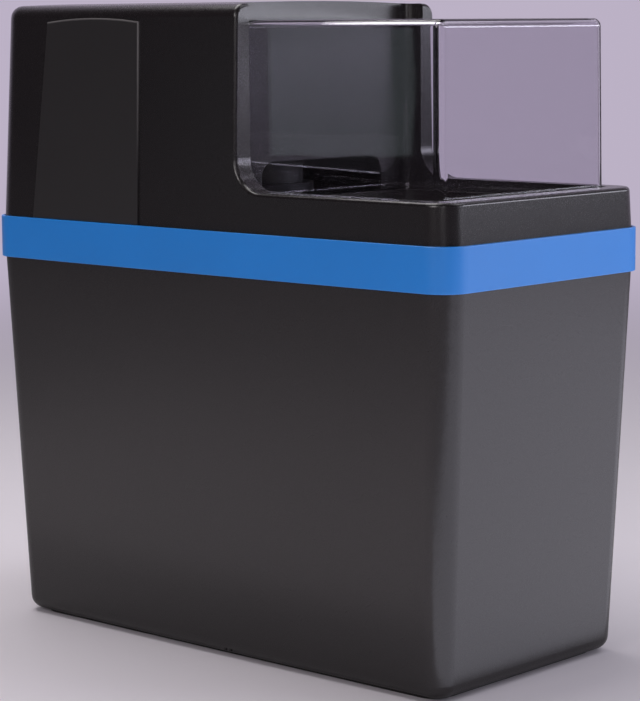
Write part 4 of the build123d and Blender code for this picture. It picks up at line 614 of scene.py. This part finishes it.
def soft_box(name, place, aim, width, height, power, colour):
    """A soft box of a given width and height: it stands at one point and faces another. One that faces
    straight up or down leans by a millimetre, which sets the way that its width runs."""
    lamp = bpy.data.lights.new(name, "AREA")
    lamp.shape = "RECTANGLE"
    lamp.size, lamp.size_y = width, height
    lamp.energy = power
    lamp.color = colour
    box = bpy.data.objects.new(name, lamp)
    place, aim = np.array(place, float), np.array(aim, float)
    back = (place - aim) / np.linalg.norm(place - aim)
    side = np.cross((0, 0, 1), back)
    side /= np.linalg.norm(side)
    axes = np.stack([side, np.cross(back, side), back, place], axis=1)
    box.matrix_world = Matrix([*axes.tolist(), [0, 0, 0, 1]])
    box.visible_camera = False
    bpy.context.scene.collection.objects.link(box)


soft_box("panel", (2.0, -2.1, 0.80), (0.0, -0.25, 0.40), 2.4, 0.45, 21, (0.88, 0.88, 1.0))
soft_box("board", (0.62, -1.20, 0.003), (0.62, -1.199, 1.0), 2.3, 1.9, 10.6, (0.87, 0.87, 1.0))
soft_box("left_board", (-0.56, 0.30, 0.003), (-0.56, 0.301, 1.0), 0.6, 1.1, 0.38, (1.0, 0.89, 0.95))
soft_box("key", (0.75, -0.95, 1.5), (0.75, -0.949, 0.0), 1.1, 1.1, 6, (0.93, 0.92, 1.0))
soft_box("fill", (-2.2, -0.3, 1.25), (0.0, 0.0, 0.30), 0.9, 0.9, 10.5, (1.0, 0.95, 0.96))
soft_box("front", (-2.0, -1.9, 1.05), (0.0, 0.0, 0.35), 0.7, 0.7, 5, (1.0, 0.96, 1.0))
soft_box("overhead", (-0.1, 0.45, 1.75), (-0.1, 0.449, 0.4), 1.2, 1.2, 17, (1.0, 0.975, 0.97))
soft_box("strip", (-2.40, 1.954, 0.430), (-0.1, -0.12, 0.43), 0.31, 0.32, 0.097, (0.80, 0.97, 1.0))

# Camera: the picture's own viewpoint, found by fitting a camera to traced points of the cabinet's edges.
# It looks at the front left corner through a long lens, from a little above, with a slight roll.
EYE = (-1.41103, -1.30160, 0.48354)
FOCAL_PIXELS, LONG_SIDE_PIXELS, SENSOR_MILLIMETRES = 2443.706, 701, 36.0
azimuth, elevation, roll = np.radians([-47.614, 7.647, -0.375])
ahead = -np.array([np.sin(azimuth) * np.cos(elevation), -np.cos(azimuth) * np.cos(elevation),
                   np.sin(elevation)])
right = np.cross(ahead, (0, 0, 1))
right /= np.linalg.norm(right)
up = np.cross(right, ahead)
right, up = np.cos(roll) * right + np.sin(roll) * up, np.cos(roll) * up - np.sin(roll) * right
lens = bpy.data.cameras.new("studio_camera")
lens.sensor_width = SENSOR_MILLIMETRES
lens.lens = SENSOR_MILLIMETRES * FOCAL_PIXELS / LONG_SIDE_PIXELS
lens.clip_start, lens.clip_end = 0.05, 60.0
camera = bpy.data.objects.new("studio_camera", lens)
stand = np.stack([right, up, -ahead, EYE], axis=1)
camera.matrix_world = Matrix([*stand.tolist(), [0, 0, 0, 1]])
bpy.context.scene.collection.objects.link(camera)
bpy.context.scene.camera = camera
bpy.context.scene.view_settings.view_transform = "Standard"
